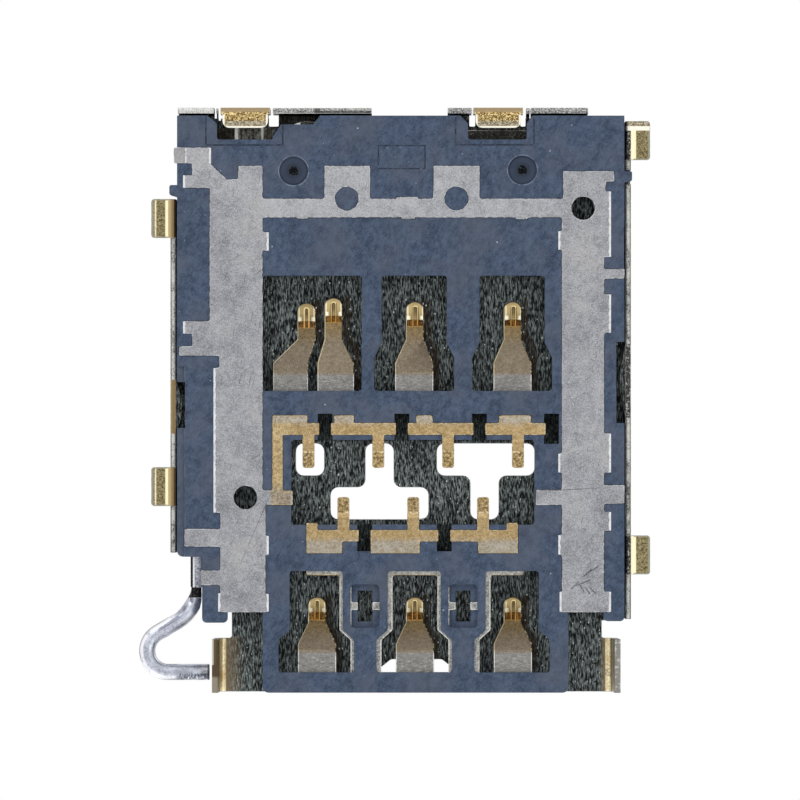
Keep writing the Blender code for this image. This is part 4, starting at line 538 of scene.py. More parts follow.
@dataclass(frozen=True)
class CoverSteel:
    """Cover sheet: brushed along Y, painted dark inside as shade, with gold-plated feet, solder walls and
    springs.
    """

    # Colours of the inner face, painted dark as shade inside the body
    inner_dark: tuple = (10, 13, 13)
    inner_light: tuple = (150, 160, 159)
    side_feet: tuple = ((1, 4.71), (1, -2.24), (-1, 6.73), (-1, -4.01))
    rear_feet: tuple = (4.03, -2.53)
    # Contacts in pixels: column, start of the neck, shoulder, dome and root
    contact_sides: tuple = (
        (306.35, 330, 352, 300, 391), (335.4, 332, 354, 296, 391), (415.3, 330, 355, 300, 391),
        (513.7, 330, 355, 300, 391), (317.0, 625, 640, 596, 672), (414.9, 625, 640, 596, 672),
        (513.8, 625, 640, 596, 672))

    def build(self) -> bpy.types.Material:
        """Returns the material."""
        n = Nodes("cover_steel")
        brush = n.noise(6.5, 4.0, 0.72, n.stretched((3.6, 0.7, 1.0)))
        fine = n.noise(16.0, 3.0, 0.65, n.stretched((2.2, 0.5, 1.0)))
        patch = n.noise(2.0, 4.0, 0.6)
        grain = n.noise(26.0, 3.0, 0.7)
        streak = brush * 0.55 + fine * 0.5 + grain * 0.25 + patch * 0.2 - 0.25
        # The inner face is painted darker than the outer faces, as shade inside the body
        inner = self.inside(n, grain)
        outer = n.blend((122, 121, 117), (186, 185, 180), streak, 0.25, 0.75)
        outside = n.step(n.z, 1.33, 1.36) | n.step(abs(n.x), 5.90, 5.93) | n.step(n.y, 7.50, 7.53)
        sides = n.step(n.y, -6.15, -6.10, 1, 0) * (n.step(n.x, 4.80, 4.83) | n.step(n.x, -5.64, -5.61, 1, 0))
        colour = n.mix(inner, outer, outside | sides)
        low_edges = n.step(n.z, 0.26, 0.32) * n.step(n.z, 0.33, 0.36, 1, 0)
        colour = n.coats(
            colour,
            (self.wall_edge(n, grain), low_edges),
            (self.gold(n, grain, patch), self.plated(n)))
        colour = self.solder_walls(n, colour, grain)
        colour = self.ridges(n, colour, grain)
        n.set(Base_Color=colour, Metallic=0.85, Roughness=n.step(streak, 0.2, 0.8, 0.34, 0.50))
        n.bump(brush * 0.4 + fine * 0.3 + grain * 0.3, 0.010, 0.5)
        return n.material

    def inside(self, n: Nodes, grain: Signal) -> Signal:
        """Inner face painted dark as shade, with fine drawn lines along Y, bright flecks, brown beside the
        contacts and painted shade in the slots.
        """
        fine = n.noise(33.0, 1.0, 0.5, n.stretched((1.0, 0.20, 1.0)))
        coarse = n.noise(5.0, 4.0, 0.7, n.stretched((1.0, 0.35, 1.0)))
        streak = fine * 0.72 + coarse * 0.20 + grain * 0.30
        colour = n.blend(self.inner_dark, self.inner_light, streak, 0.50, 0.89)
        flat = n.stretched((1.0, 0.6, 1.0))
        flecks = n.specks(6.0, 0.12, 0.20, flat) + n.specks(10.0, 0.20, 0.20, flat) * 0.8
        flecks = flecks + n.specks(16.0, 0.26, 0.14, flat) * 0.6
        # Painted shade: the inner face is darker where it is seen through the slots
        slot_shade = n.pixels(262, 412, 560, 441, 0.03) | n.pixels(296, 525, 560, 553, 0.03)
        shade = n.pixels(272, 112, 330, 127, 0.02) * (1.0 - n.pixels(286, 119, 300, 124, 0.03) * 0.4)
        return n.coats(
            colour,
            ((44, 32, 18), self.brown_side(n, grain) * 0.8),
            ((226, 232, 230), flecks * n.step(grain, 0.3, 0.5)),
            ((14, 20, 20), slot_shade * 0.72),
            ((26, 23, 18), shade * 0.85))

    def brown_side(self, n: Nodes, grain: Signal) -> Signal:
        """Brown reflection beside each contact, on the side away from the rod."""
        sides = []
        for centre, neck, shoulder, top, bottom in self.contact_sides:
            half = n.step(n.y, PHOTO.y(shoulder), PHOTO.y(neck), 0.47, 0.23)
            away = PHOTO.x(centre) - n.x - half
            sides.append(n.band(away, -0.05, 0.16, 0.06) * n.band(n.y, PHOTO.y(bottom), PHOTO.y(top), 0.08))
        return n.either(sides) * n.step(grain, 0.25, 0.60, 0.55, 1.0)

    def wall_edge(self, n: Nodes, grain: Signal) -> Signal:
        """Lower edges of the plain walls: bright middles between dark borders, broken along the wall."""
        breaks = n.noise(1.6, 4.0, 0.7)
        side = n.band(abs(n.x), 5.865, 5.945, 0.02)
        bright = side * n.step(grain * 0.6 + breaks * 0.8, 0.52, 0.80)
        colour = n.mix(srgb(52, 52, 50), srgb(226, 225, 220), bright)
        rear = n.step(n.y, 7.43, 7.45) * n.step(abs(n.x), 5.80, 5.84, 1, 0)
        tone = n.step(grain * 0.8 + breaks * 0.2, 0.40, 0.66)
        granular = n.mix(srgb(80, 80, 80), srgb(236, 236, 233), tone)
        plain = n.blend((186, 186, 182), (246, 246, 243), grain, 0.35, 0.6)
        dark = n.blend((36, 35, 33), (120, 119, 116), grain, 0.5, 0.7)
        granular = n.coats(
            granular,
            (plain, n.step(n.x, 4.80, 4.82)),
            (dark, n.area((0.75, 2.09), (7.4, 7.515), 0.015) * 0.75))
        seam = n.band(n.x, 2.09, 2.24, 0.01) * n.step(n.y, 7.40, 7.43)
        return n.coats(
            colour,
            (granular, rear),
            ((40, 42, 46), seam * 0.9))

    def gold(self, n: Nodes, grain: Signal, patch: Signal) -> Signal:
        """Gold plate: olive peened pads between bends painted bright as highlights, and the springs' edges.
        """
        mid = n.noise(13.0, 3.0, 0.7)
        tone = n.step(mid * 0.8 + grain * 0.5 + patch * 0.15, 0.50, 0.92)
        out = abs(n.x)
        pad = n.mix(srgb(56, 46, 24), srgb(164, 152, 112), tone)
        tan = n.mix(srgb(120, 98, 64), srgb(188, 168, 126), n.step(out, 5.90, 6.02) * 0.7 + grain * 0.3)
        grey = n.blend((54, 54, 52), (190, 190, 186), mid + grain * 0.4, 0.70, 0.95)
        inner = n.mix(tan, grey, n.step(n.x, -5.0, -5.5))
        colour = n.mix(inner, pad, n.step(out, 6.08, 6.11))
        # Painted highlights on the bends beside the pads
        bright = n.band(out, 6.03, 6.10, 0.015) | n.band(n.x * -1.0, 5.97, 6.10, 0.015)
        tip_line = n.band(n.x, 6.335, 6.375, 0.012) * n.step(grain, 0.30, 0.45)
        return n.coats(
            colour,
            ((252, 240, 202), bright * n.step(patch, 0.2, 0.4, 0.8, 1.0)),
            ((248, 236, 200), tip_line * 0.85),
            ((150, 148, 128), self.foot_rim(n) * 0.85),
            (self.rear_gold(n, mid, grain), n.step(n.y, 6.98, 7.0)))

    def foot_rim(self, n: Nodes) -> Signal:
        """Grey border of the side feet's free edges."""
        rim = n.step(abs(n.x), 6.395, 6.415)
        for sign, centre in self.side_feet:
            ends = n.step(abs(n.y - centre), 0.455, 0.475)
            rim = rim | ends * n.step(n.x * sign, 6.02, 6.05) * n.step(abs(n.y - centre), 0.55, 0.56, 1, 0)
        return rim

    def rear_gold(self, n: Nodes, mid: Signal, grain: Signal) -> Signal:
        """Rear feet: tan where they bend, peened gold, greyer near the tip, with a pale rim."""
        peened = n.blend((84, 60, 22), (236, 210, 148), mid * 0.7 + grain * 0.6, 0.54, 0.82)
        low = n.blend((104, 90, 64), (202, 194, 172), mid * 0.8 + grain * 0.5, 0.50, 0.85)
        colour = n.mix(low, peened, n.step(n.y, 7.20, 7.28))
        tan = n.mix(srgb(142, 122, 90), srgb(184, 162, 126), grain)
        colour = n.mix(colour, tan, n.step(n.y, 7.44, 7.50))
        rim = n.step(n.y, 7.115, 7.095)
        for centre in self.rear_feet:
            rim = rim | n.band(abs(n.x - centre), 0.535, 0.62, 0.012) * n.step(n.y, 7.42, 7.38)
        return n.mix(colour, srgb(246, 240, 224), rim * n.step(grain, 0.25, 0.45, 0.7, 1.0))

    def plated(self, n: Nodes) -> Signal:
        """One on the feet and the side springs."""
        side = n.step(abs(n.x), 5.83, 5.84) * n.step(n.z, 0.34, 0.30, 0, 1)
        feet = n.either([n.band(n.x * sign, 5.7, 6.7, 0.01) * n.band(n.y, y - 0.51, y + 0.51, 0.004)
                         for sign, y in self.side_feet])
        rear = n.step(n.y, 6.9, 6.95) * n.step(n.z, 0.40, 0.45, 1, 0) * (
            n.band(n.x, 3.37, 4.69, 0.01) | n.band(n.x, -3.19, -1.87, 0.01))
        springs = n.area((5.84, 6.0), (-0.87, 0.53), 0.02) | n.area((-6.0, -5.84), (-0.46, 1.46), 0.02)
        return side * feet | rear | springs

    def solder_walls(self, n: Nodes, colour: Signal, grain: Signal) -> Signal:
        """Walls at the mouth: brown edge, a gold bend painted bright as highlight, and a tan fade into the
        sheet.
        """
        at_mouth = n.step(n.y, -6.17, -6.12, 1, 0)
        low = n.step(n.y, -6.90, -6.80, 1, 0)
        blotch = n.step(n.noise(5.0, 4.0, 0.7), 0.50, 0.62)
        left = n.step(n.x, 4.695, 4.715)
        right = n.step(n.x, -5.485, -5.465, 1, 0)
        dark = n.mix(srgb(58, 46, 24), srgb(112, 98, 68), n.step(n.x, 4.72, 4.90) * 0.6 + grain * 0.5)
        dark = n.mix(dark, srgb(150, 142, 126), n.step(n.y, -7.22, -7.14, 1, 0) * 0.8)
        rim = left * n.pixels(211.5, 639, 213.5, 665, 0.01) * at_mouth
        grey = n.blend((126, 124, 118), (186, 184, 178), grain * 0.7 + blotch * 0.3, 0.3, 0.7)
        # Painted highlight: bright gold inner bend of each wall, with dark blotches
        fold_highlight = n.blend((206, 176, 116), (255, 244, 204), grain + n.noise(3.0) * 0.6, 0.55, 1.0)
        fold_highlight = n.mix(fold_highlight, srgb(84, 76, 62), blotch * low * 0.55)
        fold_highlight_bands = n.band(n.x, 4.545, 4.70, 0.015) | n.band(n.x, -5.48, -5.32, 0.015)
        fade = n.step(n.x, 4.02, 4.55) * n.step(n.x, 4.55, 4.57, 1, 0)
        fade = fade | n.step(n.x, -5.31, -5.15, 1, 0) * n.step(n.x, -5.34, -5.32)
        fade = fade * at_mouth * self.under_sheet(n) * n.step(grain, 0.2, 0.6, 0.3, 0.75)
        return n.coats(
            colour,
            (n.mix(dark, srgb(84, 68, 50), low * n.step(n.y, -7.2, -7.1)), left * at_mouth),
            ((210, 206, 196), rim * 0.8),
            (grey, right * at_mouth),
            (fold_highlight, fold_highlight_bands * at_mouth),
            ((138, 122, 96), fade))

    def under_sheet(self, n: Nodes) -> Signal:
        """One at the lower face of the cover's sheet, zero on its upper face."""
        return n.band(n.z, 1.05, 1.345, 0.015)

    def ridges(self, n: Nodes, colour: Signal, grain: Signal) -> Signal:
        """Bright lines painted as highlights on the ridges of drawn grey metal in the rear notches, with
        painted shade beside the left one.
        """
        at_sheet = self.under_sheet(n)
        notches = n.pixels(217, 127, 272, 141, 0.01) | n.pixels(467, 127, 526, 141, 0.01)
        lines = n.noise(16.0, 2.0, 0.6, n.stretched((1.0, 0.25, 1.0)))
        peened = n.blend((56, 55, 50), (166, 165, 158), lines * 0.7 + grain * 0.5, 0.50, 0.78)
        peened = n.coats(
            peened,
            # Painted shade beside the left ridge
            ((34, 30, 24), n.pixels(210, 125, 234.5, 142, 0.01) * 0.85),
            ((70, 60, 46), n.pixels(266, 125, 274, 142, 0.06) * 0.7))
        # Painted highlights: bright lines on the ridges
        ridge_highlight = n.pixels(234.0, 126, 237.4, 141, 0.008) | n.pixels(260.4, 126, 262.8, 141, 0.008) * 0.8
        return n.coats(
            colour,
            (peened, notches * at_sheet),
            ((255, 254, 250), ridge_highlight * at_sheet * n.step(grain, 0.20, 0.42)))


@dataclass(frozen=True)
class DrawnWire:
    """Bright drawn wire: painted shade as dark outlines, a painted highlight as a white band on its outer
    side, and drag marks.
    """

    middle: tuple = (5.9, -6.4)

    def build(self) -> bpy.types.Material:
        """Returns the material."""
        n = Nodes("drawn_wire")
        outward = self.outward(n)
        patch = n.noise(2.4, 4.0, 0.65)
        grain = n.noise(20.0, 3.0, 0.6)
        body = n.blend((150, 154, 166), (206, 210, 222), patch * 0.7 + grain * 0.5, 0.42, 0.75)
        # Painted highlight: white band where the surface faces outward from the hook
        bright = n.band(outward, 0.50, 0.86, 0.10) * n.step(patch, 0.34, 0.50)
        colour = n.mix(body, srgb(250, 250, 253), bright)
        drag = n.band(outward, 0.10, 0.48, 0.08) * n.pixels(157, 606, 190, 633, 0.08)
        marks = n.step(n.noise(7.0, 3.0, 0.7, n.stretched((3.0, 0.8, 1.0))), 0.44, 0.52)
        arm = n.area((4.9, 5.75), (-7.25, -7.10), 0.03) * marks
        colour = n.coats(
            colour,
            ((88, 92, 108), drag * n.step(patch, 0.36, 0.52) * 0.8),
            # Painted shade: dark outlines where the wire's surface turns away
            ((96, 98, 104), n.step(abs(outward), 0.90, 0.985) * 0.75),
            (self.shank(n, patch, grain), n.step(n.y, -5.14, -5.12)),
            ((58, 68, 88), arm * 0.85),
            ((72, 72, 70), n.step(n.x, 5.03, 5.01) * n.step(n.y, -6.8, -6.9) * 0.8))
        n.set(Base_Color=colour, Metallic=0.75, Roughness=n.step(grain, 0.3, 0.7, 0.30, 0.42))
        n.bump(patch * 0.5 + grain * 0.2, 0.006, 0.4)
        return n.material

    def outward(self, n: Nodes) -> Signal:
        """How far the surface faces away from the middle of the hook, from -1 to 1."""
        away = n.vector("SUBTRACT", n.place, (*self.middle, 0.80))
        flat = n.vector("MULTIPLY", away, (1.0, 1.0, 0.0))
        unit = n.vector("NORMALIZE", flat, (0.0, 0.0, 0.0))
        return n.vector("DOT_PRODUCT", n.coordinates.outputs["Normal"], unit, "Value")

    def shank(self, n: Nodes, patch: Signal, grain: Signal) -> Signal:
        """Flattened shank: painted shade on its outer flank, bright lines painted as highlights, and a
        painted shadow across the neck in front.
        """
        colour = n.blend((96, 100, 112), (206, 209, 220), patch * 0.6 + grain * 0.6, 0.48, 0.75)
        # Painted highlights: bright lines along the flattened shank
        lines = n.band(n.x, 5.360, 5.392, 0.010) | n.band(n.x, 5.10, 5.185, 0.01) * 0.8
        colour = n.coats(
            colour,
            ((252, 252, 252), lines),
            # Painted shade on the outer flank
            ((34, 36, 38), n.step(n.x, 5.395, 5.41)))
        # Painted shadow: dark neck in front of the shank, where the rod passes into the body
        clear_of_neck_shadow = n.step(n.y, PHOTO.y(588.5), PHOTO.y(587))
        dark = n.blend((10, 10, 12), (80, 80, 84), grain + patch * 0.3, 0.72, 0.90)
        return n.mix(dark, colour, clear_of_neck_shadow)


@dataclass(frozen=True)
class DarkSteel:
    """Dark steel of the lever, painted darker as shade inside the body, with a painted glint on its hub."""

    glint: tuple = (287, 119, 300, 124)

    def build(self) -> bpy.types.Material:
        """Returns the material."""
        n = Nodes("dark_steel")
        patch = n.noise(4.0, 4.0, 0.65)
        grain = n.noise(18.0, 3.0, 0.7)
        # The dark tone is partly the steel's own and partly painted shade
        colour = n.blend((36, 36, 34), (126, 124, 118), patch * 0.5 + grain * 0.6, 0.5, 0.8)
        # Painted glint: white patch on the hub
        colour = n.mix(colour, srgb(250, 250, 246), n.pixels(*self.glint, 0.02))
        n.set(Base_Color=colour, Metallic=0.85, Roughness=n.step(patch, 0.3, 0.7, 0.32, 0.5))
        n.bump(grain, 0.012, 0.6)
        return n.material


@dataclass(frozen=True)
class BrightEdge:
    """Worn or sheared edge of a metal piece, a little brighter than its faces; its colour is linear."""

    name: str
    colour: tuple
    shade: float = 0.5
    metallic: float = 0.5

    def build(self) -> bpy.types.Material:
        """Returns the material."""
        n = Nodes("edge_" + self.name)
        worn = n.noise(7.0, 3.0, 0.65)
        shaded = tuple(value * self.shade for value in self.colour)
        colour = n.mix(shaded, self.colour, n.step(worn, 0.36, 0.58))
        n.set(Base_Color=colour, Metallic=self.metallic, Roughness=0.4)
        return n.material


@dataclass(frozen=True)
class ContactEdge:
    """Sheared edge of a contact: cream on the rod's side, dotted on the other, painted shadow round the
    dome's tip.
    """

    zones: ContactZones

    def build(self) -> bpy.types.Material:
        """Returns the material."""
        n = Nodes("edge_" + self.zones.name)
        n.set(Base_Color=self.paint(n), Metallic=0.15, Roughness=0.4)
        return n.material

    def paint(self, n: Nodes) -> Signal:
        """Colour of the edge along the whole strip."""
        zones = self.zones
        grain = n.noise(14.0, 3.0, 0.65)
        offset = n.x - zones.column
        beam = n.blend((206, 190, 152), (232, 218, 180), grain, 0.4, 0.6)
        dotted = n.blend((70, 56, 34), (240, 222, 176), grain, 0.52, 0.60)
        beam = n.mix(beam, dotted, n.step(offset, 0.02, -0.02))
        root = n.blend((170, 168, 162), (244, 244, 240), grain, 0.36, 0.52)
        flat = n.blend((150, 128, 88), (218, 198, 156), grain, 0.42, 0.60)
        colour = n.mix(root, beam, n.step(n.y, zones.bend - 0.03, zones.bend + 0.03))
        on_strip = n.band(n.y, zones.root - 0.25, zones.dome_end + 0.25, 0.02)
        colour = n.mix(flat, colour, on_strip)
        # Painted shadow: dark edge round the dome's tip
        tip = n.band(n.y, zones.dome_end - 0.08, zones.dome_end + 0.25, 0.04)
        loops = n.step(abs(offset), 0.56, 0.60) * n.step(n.y, -3.95, -4.05)
        return n.coats(
            colour,
            ((44, 32, 14), tip * n.step(abs(offset), 0.40, 0.36)),
            (root, loops))


@dataclass(frozen=True)
class FrameEdge:
    """Sheared edge of the plated sheet, with its own contact's gold edge."""

    zones: ContactZones

    def build(self) -> bpy.types.Material:
        """Returns the material."""
        n = Nodes("edge_frame")
        worn = n.noise(7.0, 3.0, 0.65)
        sheet = n.blend((120, 121, 124), (222, 223, 228), worn, 0.40, 0.62)
        on_contact = n.area((1.85, 3.40), (-2.75, 2.62), 0.01)
        colour = n.mix(sheet, ContactEdge(self.zones).paint(n), on_contact)
        n.set(Base_Color=colour, Metallic=0.2, Roughness=0.4)
        return n.material


@dataclass(frozen=True)
class CoverEdge:
    """Cut edges of the cover: soft grey round the openings, bright at the rear walls, dark elsewhere."""

    def build(self) -> bpy.types.Material:
        """Returns the material."""
        n = Nodes("edge_cover")
        worn = n.noise(7.0, 3.0, 0.65)
        colour = n.blend((96, 94, 88), (170, 168, 160), worn, 0.36, 0.58)
        opening = n.blend((140, 146, 141), (186, 191, 186), worn, 0.36, 0.58)
        rear = n.step(n.y, 7.40, 7.43) * n.step(n.z, 0.5, 0.4) * n.step(n.x, 4.84, 4.80)
        sides = n.area((3.3, 4.75), (6.9, 7.42)) | n.area((-3.25, -1.8), (6.9, 7.42))
        feet = n.step(n.y, 6.90, 6.95) * n.step(n.z, 0.30, 0.26) * sides
        colour = n.coats(
            colour,
            (opening, n.step(n.z, 1.18, 1.22) * n.step(abs(n.x), 5.6, 5.5)),
            ((240, 240, 236), rear * n.step(worn, 0.26, 0.44, 0.3, 1.0)),
            ((250, 246, 232), feet))
        n.set(Base_Color=colour, Metallic=0.4, Roughness=0.4)
        return n.material


@dataclass(frozen=True)
class TornPlastic:
    """Rough dark plastic where the gate was torn off."""

    def build(self) -> bpy.types.Material:
        """Returns the material."""
        n = Nodes("torn_plastic")
        grain = n.noise(30.0, 3.0, 0.7)
        colour = n.blend((4, 6, 9), (120, 132, 146), grain, 0.60, 0.72)
        n.set(Base_Color=colour, Roughness=0.8, Specular_IOR_Level=0.15)
        n.bump(grain, 0.02, 0.8)
        return n.material


def soften(item: bpy.types.Object, width: float, edge_slot: int = -1, segments: int = 2) -> None:
    """Join a solid's loose triangles and round its sharp edges.

    Args:
        item: Object to round.
        width: Width of the rounding in millimetres.
        edge_slot: Material slot for the rounded edges, or -1 for the faces' own.
        segments: Facets across the rounding.
    """
    weld = item.modifiers.new("joined", "WELD")
    weld.merge_threshold = JOINED * MM
    bevel = item.modifiers.new("edges", "BEVEL")
    bevel.width = width * MM
    bevel.segments = segments
    bevel.limit_method = "ANGLE"
    bevel.angle_limit = math.radians(SHARP)
    bevel.use_clamp_overlap = False
    bevel.material = edge_slot


def dress(name: str, *materials: bpy.types.Material) -> bpy.types.Object:
    """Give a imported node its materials, in slot order.

    Returns:
        The node's object.
    """
    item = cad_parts[name]
    item.data.materials.clear()
    for material in materials:
        item.data.materials.append(material)
    return item


def new_piece(name: str, points: np.ndarray, faces: np.ndarray, material: bpy.types.Material,
              body: Body = Body.SOCKET) -> bpy.types.Object:
    """Make a piece from a grid of points and let it ride on a body.

    Args:
        name: Name of the piece.
        points: Corners in millimetres, one row each.
        faces: Corner numbers of the four-sided faces.
        material: Its material.
        body: Body that carries it.

    Returns:
        The new object.
    """
    mesh = bpy.data.meshes.new(name)
    mesh.from_pydata((points * MM).tolist(), [], faces.tolist())
    mesh.update()
    mesh.materials.append(material)
    item = bpy.data.objects.new(name, mesh)
    bpy.context.scene.collection.objects.link(item)
    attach(item, body.value)
    return item


@dataclass(frozen=True)
class Moulding:
    """The blue-grey moulding and its torn gates; sizes in millimetres."""

    edge_width: float = 0.010
    gate_radius: float = 0.13
    gate_level: float = 0.09
    gate_drop: float = 0.028
    gate_dent: float = 0.004
    gate_start: float = 0.06
    rings: int = 5
    turns: int = 28

    def build(self) -> None:
        """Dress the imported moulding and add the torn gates."""
        soften(dress("housing", MouldedPlastic().build()), self.edge_width)
        material = TornPlastic().build()
        for side, (column, row) in zip(("left", "right"), MouldedPlastic.gates):
            self.gate(f"torn_gate_{side}", PHOTO.x(column), PHOTO.y(row), material)

    def gate(self, name: str, x: float, y: float, material: bpy.types.Material) -> None:
        """Low torn mound: rings of points whose radius and height waver by sums of two sines."""
        ring = np.repeat(np.arange(self.rings + 1), self.turns) / self.rings
        angle = np.tile(np.arange(self.turns), self.rings + 1) * math.tau / self.turns
        waver = 1 + 0.08 * np.sin(3 * angle + x) + 0.06 * np.sin(7 * angle + 2 * x)
        radius = (self.gate_start + (1 - self.gate_start) * ring) * self.gate_radius * waver
        rough = 0.5 + 0.3 * np.sin(5 * angle + 9 * ring) + 0.2 * np.sin(11 * angle - 4 * ring)
        drop = self.gate_drop * (1 - ring ** 2) * rough - self.gate_dent * (ring == 1)
        points = np.stack([x + radius * np.cos(angle), y + radius * np.sin(angle), self.gate_level - drop], 1)
        first = np.arange(self.rings)[:, None] * self.turns + np.arange(self.turns)
        after = np.arange(self.rings)[:, None] * self.turns + (np.arange(self.turns) + 1) % self.turns
        faces = np.stack([first, first + self.turns, after + self.turns, after], 2).reshape(-1, 4)
        new_piece(name, points, faces, material)


@dataclass(frozen=True)
class MetalInserts:
    """Ground frame and contacts that are let into the moulding; domes in pixels, sizes in millimetres."""

    edge_width: float = 0.016
    contact_edge: float = 0.024
    rear_row: tuple = (
        (306.35, 303.2, 320.8), (333.4, 297.8, 315.4), (415.3, 301.7, 319.3), (513.7, 301.7, 319.3))
    front_columns: tuple = (317.0, 414.9, 513.8)
    burr_drop: float = 0.004
    burr_width: float = 0.050
    burr_lap: float = 0.004
    burr_pitch: float = 0.06
    sheet_level: float = 0.05
    burr_top: float = 0.06
    # Straight shear burrs: x of the edge, side of the strip, and its two ends along Y
    burrs: tuple = (
        (-5.45, 1, 3.72, 5.41), (-5.45, 1, 1.75, 2.74), (-5.45, 1, -1.87, -0.87), (-5.45, 1, -3.38, -2.90),
        (-5.45, 1, -5.48, -4.97), (-4.09, -1, -4.00, -3.50), (-4.09, -1, -1.87, -1.39),
        (-4.09, -1, 3.90, 4.38), (-4.124, -1, -5.48, -4.97), (4.85, -1, -2.91, 0.83),
        (4.73, -1, -5.48, -5.01),
        (3.425, 1, 3.88, 4.35), (3.425, 1, -4.00, -3.52), (3.425, 1, -5.48, -5.03), (4.92, 1, 6.14, 6.54),
        (5.64, -1, 5.51, 5.83), (5.64, -1, 1.73, 2.04),
    )

    def build(self) -> None:
        """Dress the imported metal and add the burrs."""
        white = srgb(240, 241, 244)
        rear = [self.rear_zones(number, *spot) for number, spot in enumerate(self.rear_row, start=1)]
        finishes = PlatedSheet(rear[0]).build(), FrameEdge(rear[0]).build()
        soften(dress("ground_frame", *finishes), self.edge_width, 1)
        for number, zones in enumerate(rear[1:], start=2):
            self.contact(f"rear_contact_{number}", zones)
        for number, column in enumerate(self.front_columns, start=1):
            self.contact(f"front_contact_{number}", self.front_zones(number, column))
        self.burr_piece(BrightEdge("burr", white, 0.75, 0.1).build())

    def contact(self, node: str, zones: ContactZones) -> None:
        """Dress one contact with its gold and its edge."""
        soften(dress(node, GoldContact(zones).build(), ContactEdge(zones).build()), self.contact_edge, 1)

    def rear_zones(self, number: int, column: float, top: float, bottom: float) -> ContactZones:
        """Zones of one rear contact from the pixels of its dome."""
        return ContactZones(
            f"rear_{number}", PHOTO.x(column), PHOTO.y(top), PHOTO.y(bottom), PHOTO.y(bottom + 7.0),
            PHOTO.y(374.5), PHOTO.y(391), (-1.8, -0.35), (-0.60, -0.37), PHOTO.y(452), PHOTO.y(470))

    def front_zones(self, number: int, column: float) -> ContactZones:
        """Zones of one front contact; all three domes lie in one row."""
        return ContactZones(
            f"front_{number}", PHOTO.x(column), PHOTO.y(597.5), PHOTO.y(612.5), PHOTO.y(620.8),
            PHOTO.y(652.8), PHOTO.y(672.5), (-4.0, -2.45), (-4.0, -3.62), PHOTO.y(512.4), PHOTO.y(495))

    def burr_piece(self, material: bpy.types.Material) -> None:
        """Narrow strips that stand a little below the sheet; their width wavers by a sum of two sines."""
        points, faces = [], []
        corners = np.arange(4)
        for edge, side, low, high in self.burrs:
            count = max(6, int((high - low) / self.burr_pitch))
            y = np.linspace(low, high, count)
            width = self.burr_width + 0.008 * np.sin(y * 23 + edge) + 0.006 * np.sin(y * 61)
            outer = np.full(count, edge - side * self.burr_lap)
            inner = edge + side * width
            x = np.stack([outer, inner, inner, outer], 1)
            z = np.tile([self.sheet_level - self.burr_drop] * 2 + [self.burr_top] * 2, (count, 1))
            start = sum(len(block) for block in points)
            points.append(np.stack([x, np.repeat(y[:, None], 4, 1), z], 2).reshape(-1, 3))
            base = start + 4 * np.arange(count - 1)[:, None]
            after = (corners + 1) % 4
            sides = [base + corners, base + after, base + 4 + after, base + 4 + corners]
            quads = np.stack(sides, 2).reshape(-1, 4)
            last = start + (count - 1) * 4
            ends = np.array([start + corners[::-1], last + corners])
            faces.append(np.concatenate([quads, ends]))
        new_piece("frame_burrs", np.concatenate(points), np.concatenate(faces), material)


@dataclass(frozen=True)
class Cover:
    """The folded cover; its rounding is in millimetres."""

    edge_width: float = 0.012

    def build(self) -> None:
        """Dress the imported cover."""
        soften(dress("cover_shell", CoverSteel().build(), CoverEdge().build()), self.edge_width, 1, 3)


@dataclass(frozen=True)
class EjectLinkage:
    """The push rod and its lever; their rounding is in millimetres."""

    edge_width: float = 0.02

    def build(self) -> None:
        """Dress both pieces."""
        rod = dress("push_rod", DrawnWire().build())
        rod.data.shade_smooth()
        soften(rod, self.edge_width)
        edge = BrightEdge("lever", srgb(235, 235, 230), 0.3).build()
        soften(dress("eject_lever", DarkSteel().build(), edge), self.edge_width, 1)


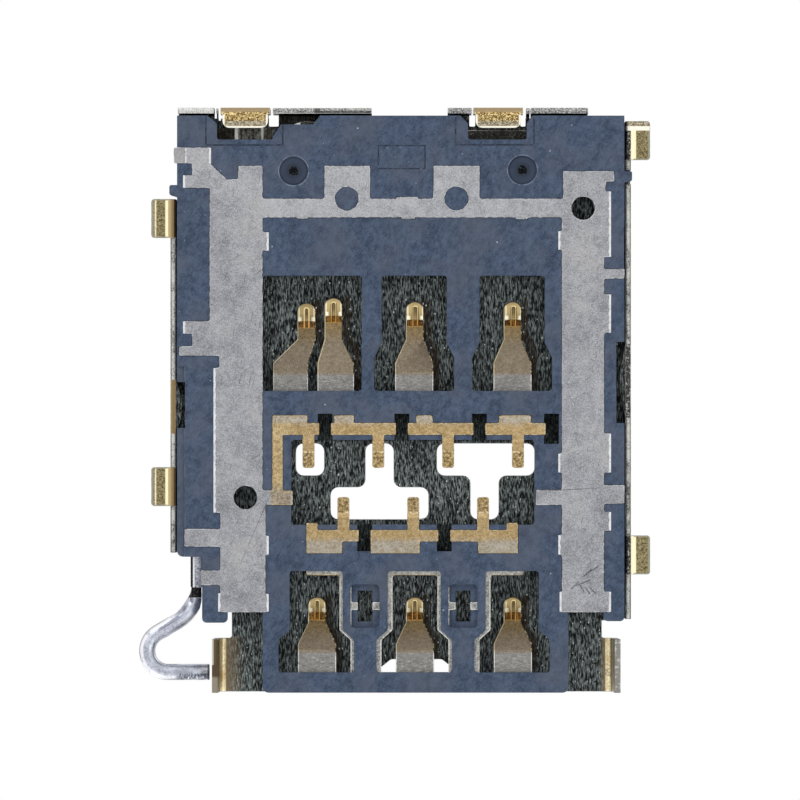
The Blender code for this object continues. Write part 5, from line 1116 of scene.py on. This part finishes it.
@dataclass(frozen=True)
class Studio:
    """Floor, lights, background and camera: millimetres, but watts for lamps and metres for clip."""

    view_distance: float = 250.0
    floor_side: float = 300.0
    floor_drop: float = 0.002
    floor_tone: float = 0.82
    lamp_side: float = 90.0
    world_light: float = 0.55
    sensor: float = 36.0
    clip: tuple[float, float] = (0.01, 10.0)
    lamps: tuple = (
        ("under_key", (60, 90, -110), 0.060),
        ("under_fill", (-90, -40, -110), 0.035),
        ("under_low", (40, -110, -80), 0.025),
        ("over_key", (70, -80, 120), 0.070),
        ("over_fill", (-100, 60, 110), 0.040),
    )

    def build(self) -> None:
        """Set up everything that isn't part of the object."""
        self.world()
        self.floor()
        self.lights()
        self.camera()
        bpy.context.scene.view_settings.view_transform = "Standard"

    def world(self) -> None:
        """White where a camera or a reflection sees it, softer as light."""
        world = bpy.data.worlds.new("studio")
        bpy.context.scene.world = world
        world.use_nodes = True
        tree = world.node_tree
        background = tree.nodes["Background"]
        path = tree.nodes.new("ShaderNodeLightPath")
        seen = path.outputs["Is Camera Ray"]
        for ray in ("Is Glossy Ray", "Is Transmission Ray"):
            larger = tree.nodes.new("ShaderNodeMath")
            larger.operation = "MAXIMUM"
            tree.links.new(seen, larger.inputs[0])
            tree.links.new(path.outputs[ray], larger.inputs[1])
            seen = larger.outputs[0]
        level = tree.nodes.new("ShaderNodeMapRange")
        level.inputs["To Min"].default_value = self.world_light
        level.inputs["To Max"].default_value = 1.0
        tree.links.new(seen, level.inputs["Value"])
        background.inputs["Color"].default_value = (1, 1, 1, 1)
        tree.links.new(level.outputs[0], background.inputs["Strength"])

    def floor(self) -> None:
        """Pale floor that shows from above only, so that the solder side can be seen through it."""
        bpy.ops.mesh.primitive_plane_add(size=self.floor_side * MM, location=(0, 0, -self.floor_drop * MM))
        plane = bpy.context.object
        plane.name = "studio_floor"
        material = bpy.data.materials.new("floor")
        material.use_nodes = True
        tree = material.node_tree
        shader = tree.nodes["Principled BSDF"]
        shader.inputs["Base Color"].default_value = (*[self.floor_tone] * 3, 1)
        shader.inputs["Roughness"].default_value = 0.9
        geometry = tree.nodes.new("ShaderNodeNewGeometry")
        clear = tree.nodes.new("ShaderNodeBsdfTransparent")
        mix = tree.nodes.new("ShaderNodeMixShader")
        tree.links.new(geometry.outputs["Backfacing"], mix.inputs[0])
        tree.links.new(shader.outputs[0], mix.inputs[1])
        tree.links.new(clear.outputs[0], mix.inputs[2])
        tree.links.new(mix.outputs[0], tree.nodes["Material Output"].inputs["Surface"])
        plane.data.materials.append(material)
        plane.visible_shadow = False
        plane.visible_diffuse = False
        plane.visible_glossy = False

    def lights(self) -> None:
        """Soft boxes on both sides of the board plane."""
        for name, place, power in self.lamps:
            data = bpy.data.lights.new(name, "AREA")
            data.shape = "SQUARE"
            data.size = self.lamp_side * MM
            data.energy = power
            lamp = bpy.data.objects.new(name, data)
            lamp.location = Vector(place) * MM
            lamp.rotation_euler = (-lamp.location).to_track_quat("-Z", "Y").to_euler()
            bpy.context.scene.collection.objects.link(lamp)

    def camera(self) -> None:
        """Long lens straight below the part, with +Y up the picture and +X to the left."""
        data = bpy.data.cameras.new("camera")
        data.sensor_width = self.sensor
        field = PHOTO.width / PHOTO.per_mm
        data.lens = data.sensor_width * self.view_distance / field
        data.clip_start, data.clip_end = self.clip
        camera = bpy.data.objects.new("camera", data)
        half = PHOTO.width / 2
        camera.location = Vector((PHOTO.x(half), PHOTO.y(half), -self.view_distance)) * MM
        camera.rotation_euler = (0, math.pi, 0)
        bpy.context.scene.collection.objects.link(camera)
        bpy.context.scene.camera = camera


def main() -> None:
    """Dress the part and light it."""
    logging.basicConfig(level=logging.INFO)
    for stage in (Moulding(), MetalInserts(), Cover(), EjectLinkage(), Studio()):
        log.info("building %s", type(stage).__name__)
        stage.build()


if __name__ == "__main__":
    main()
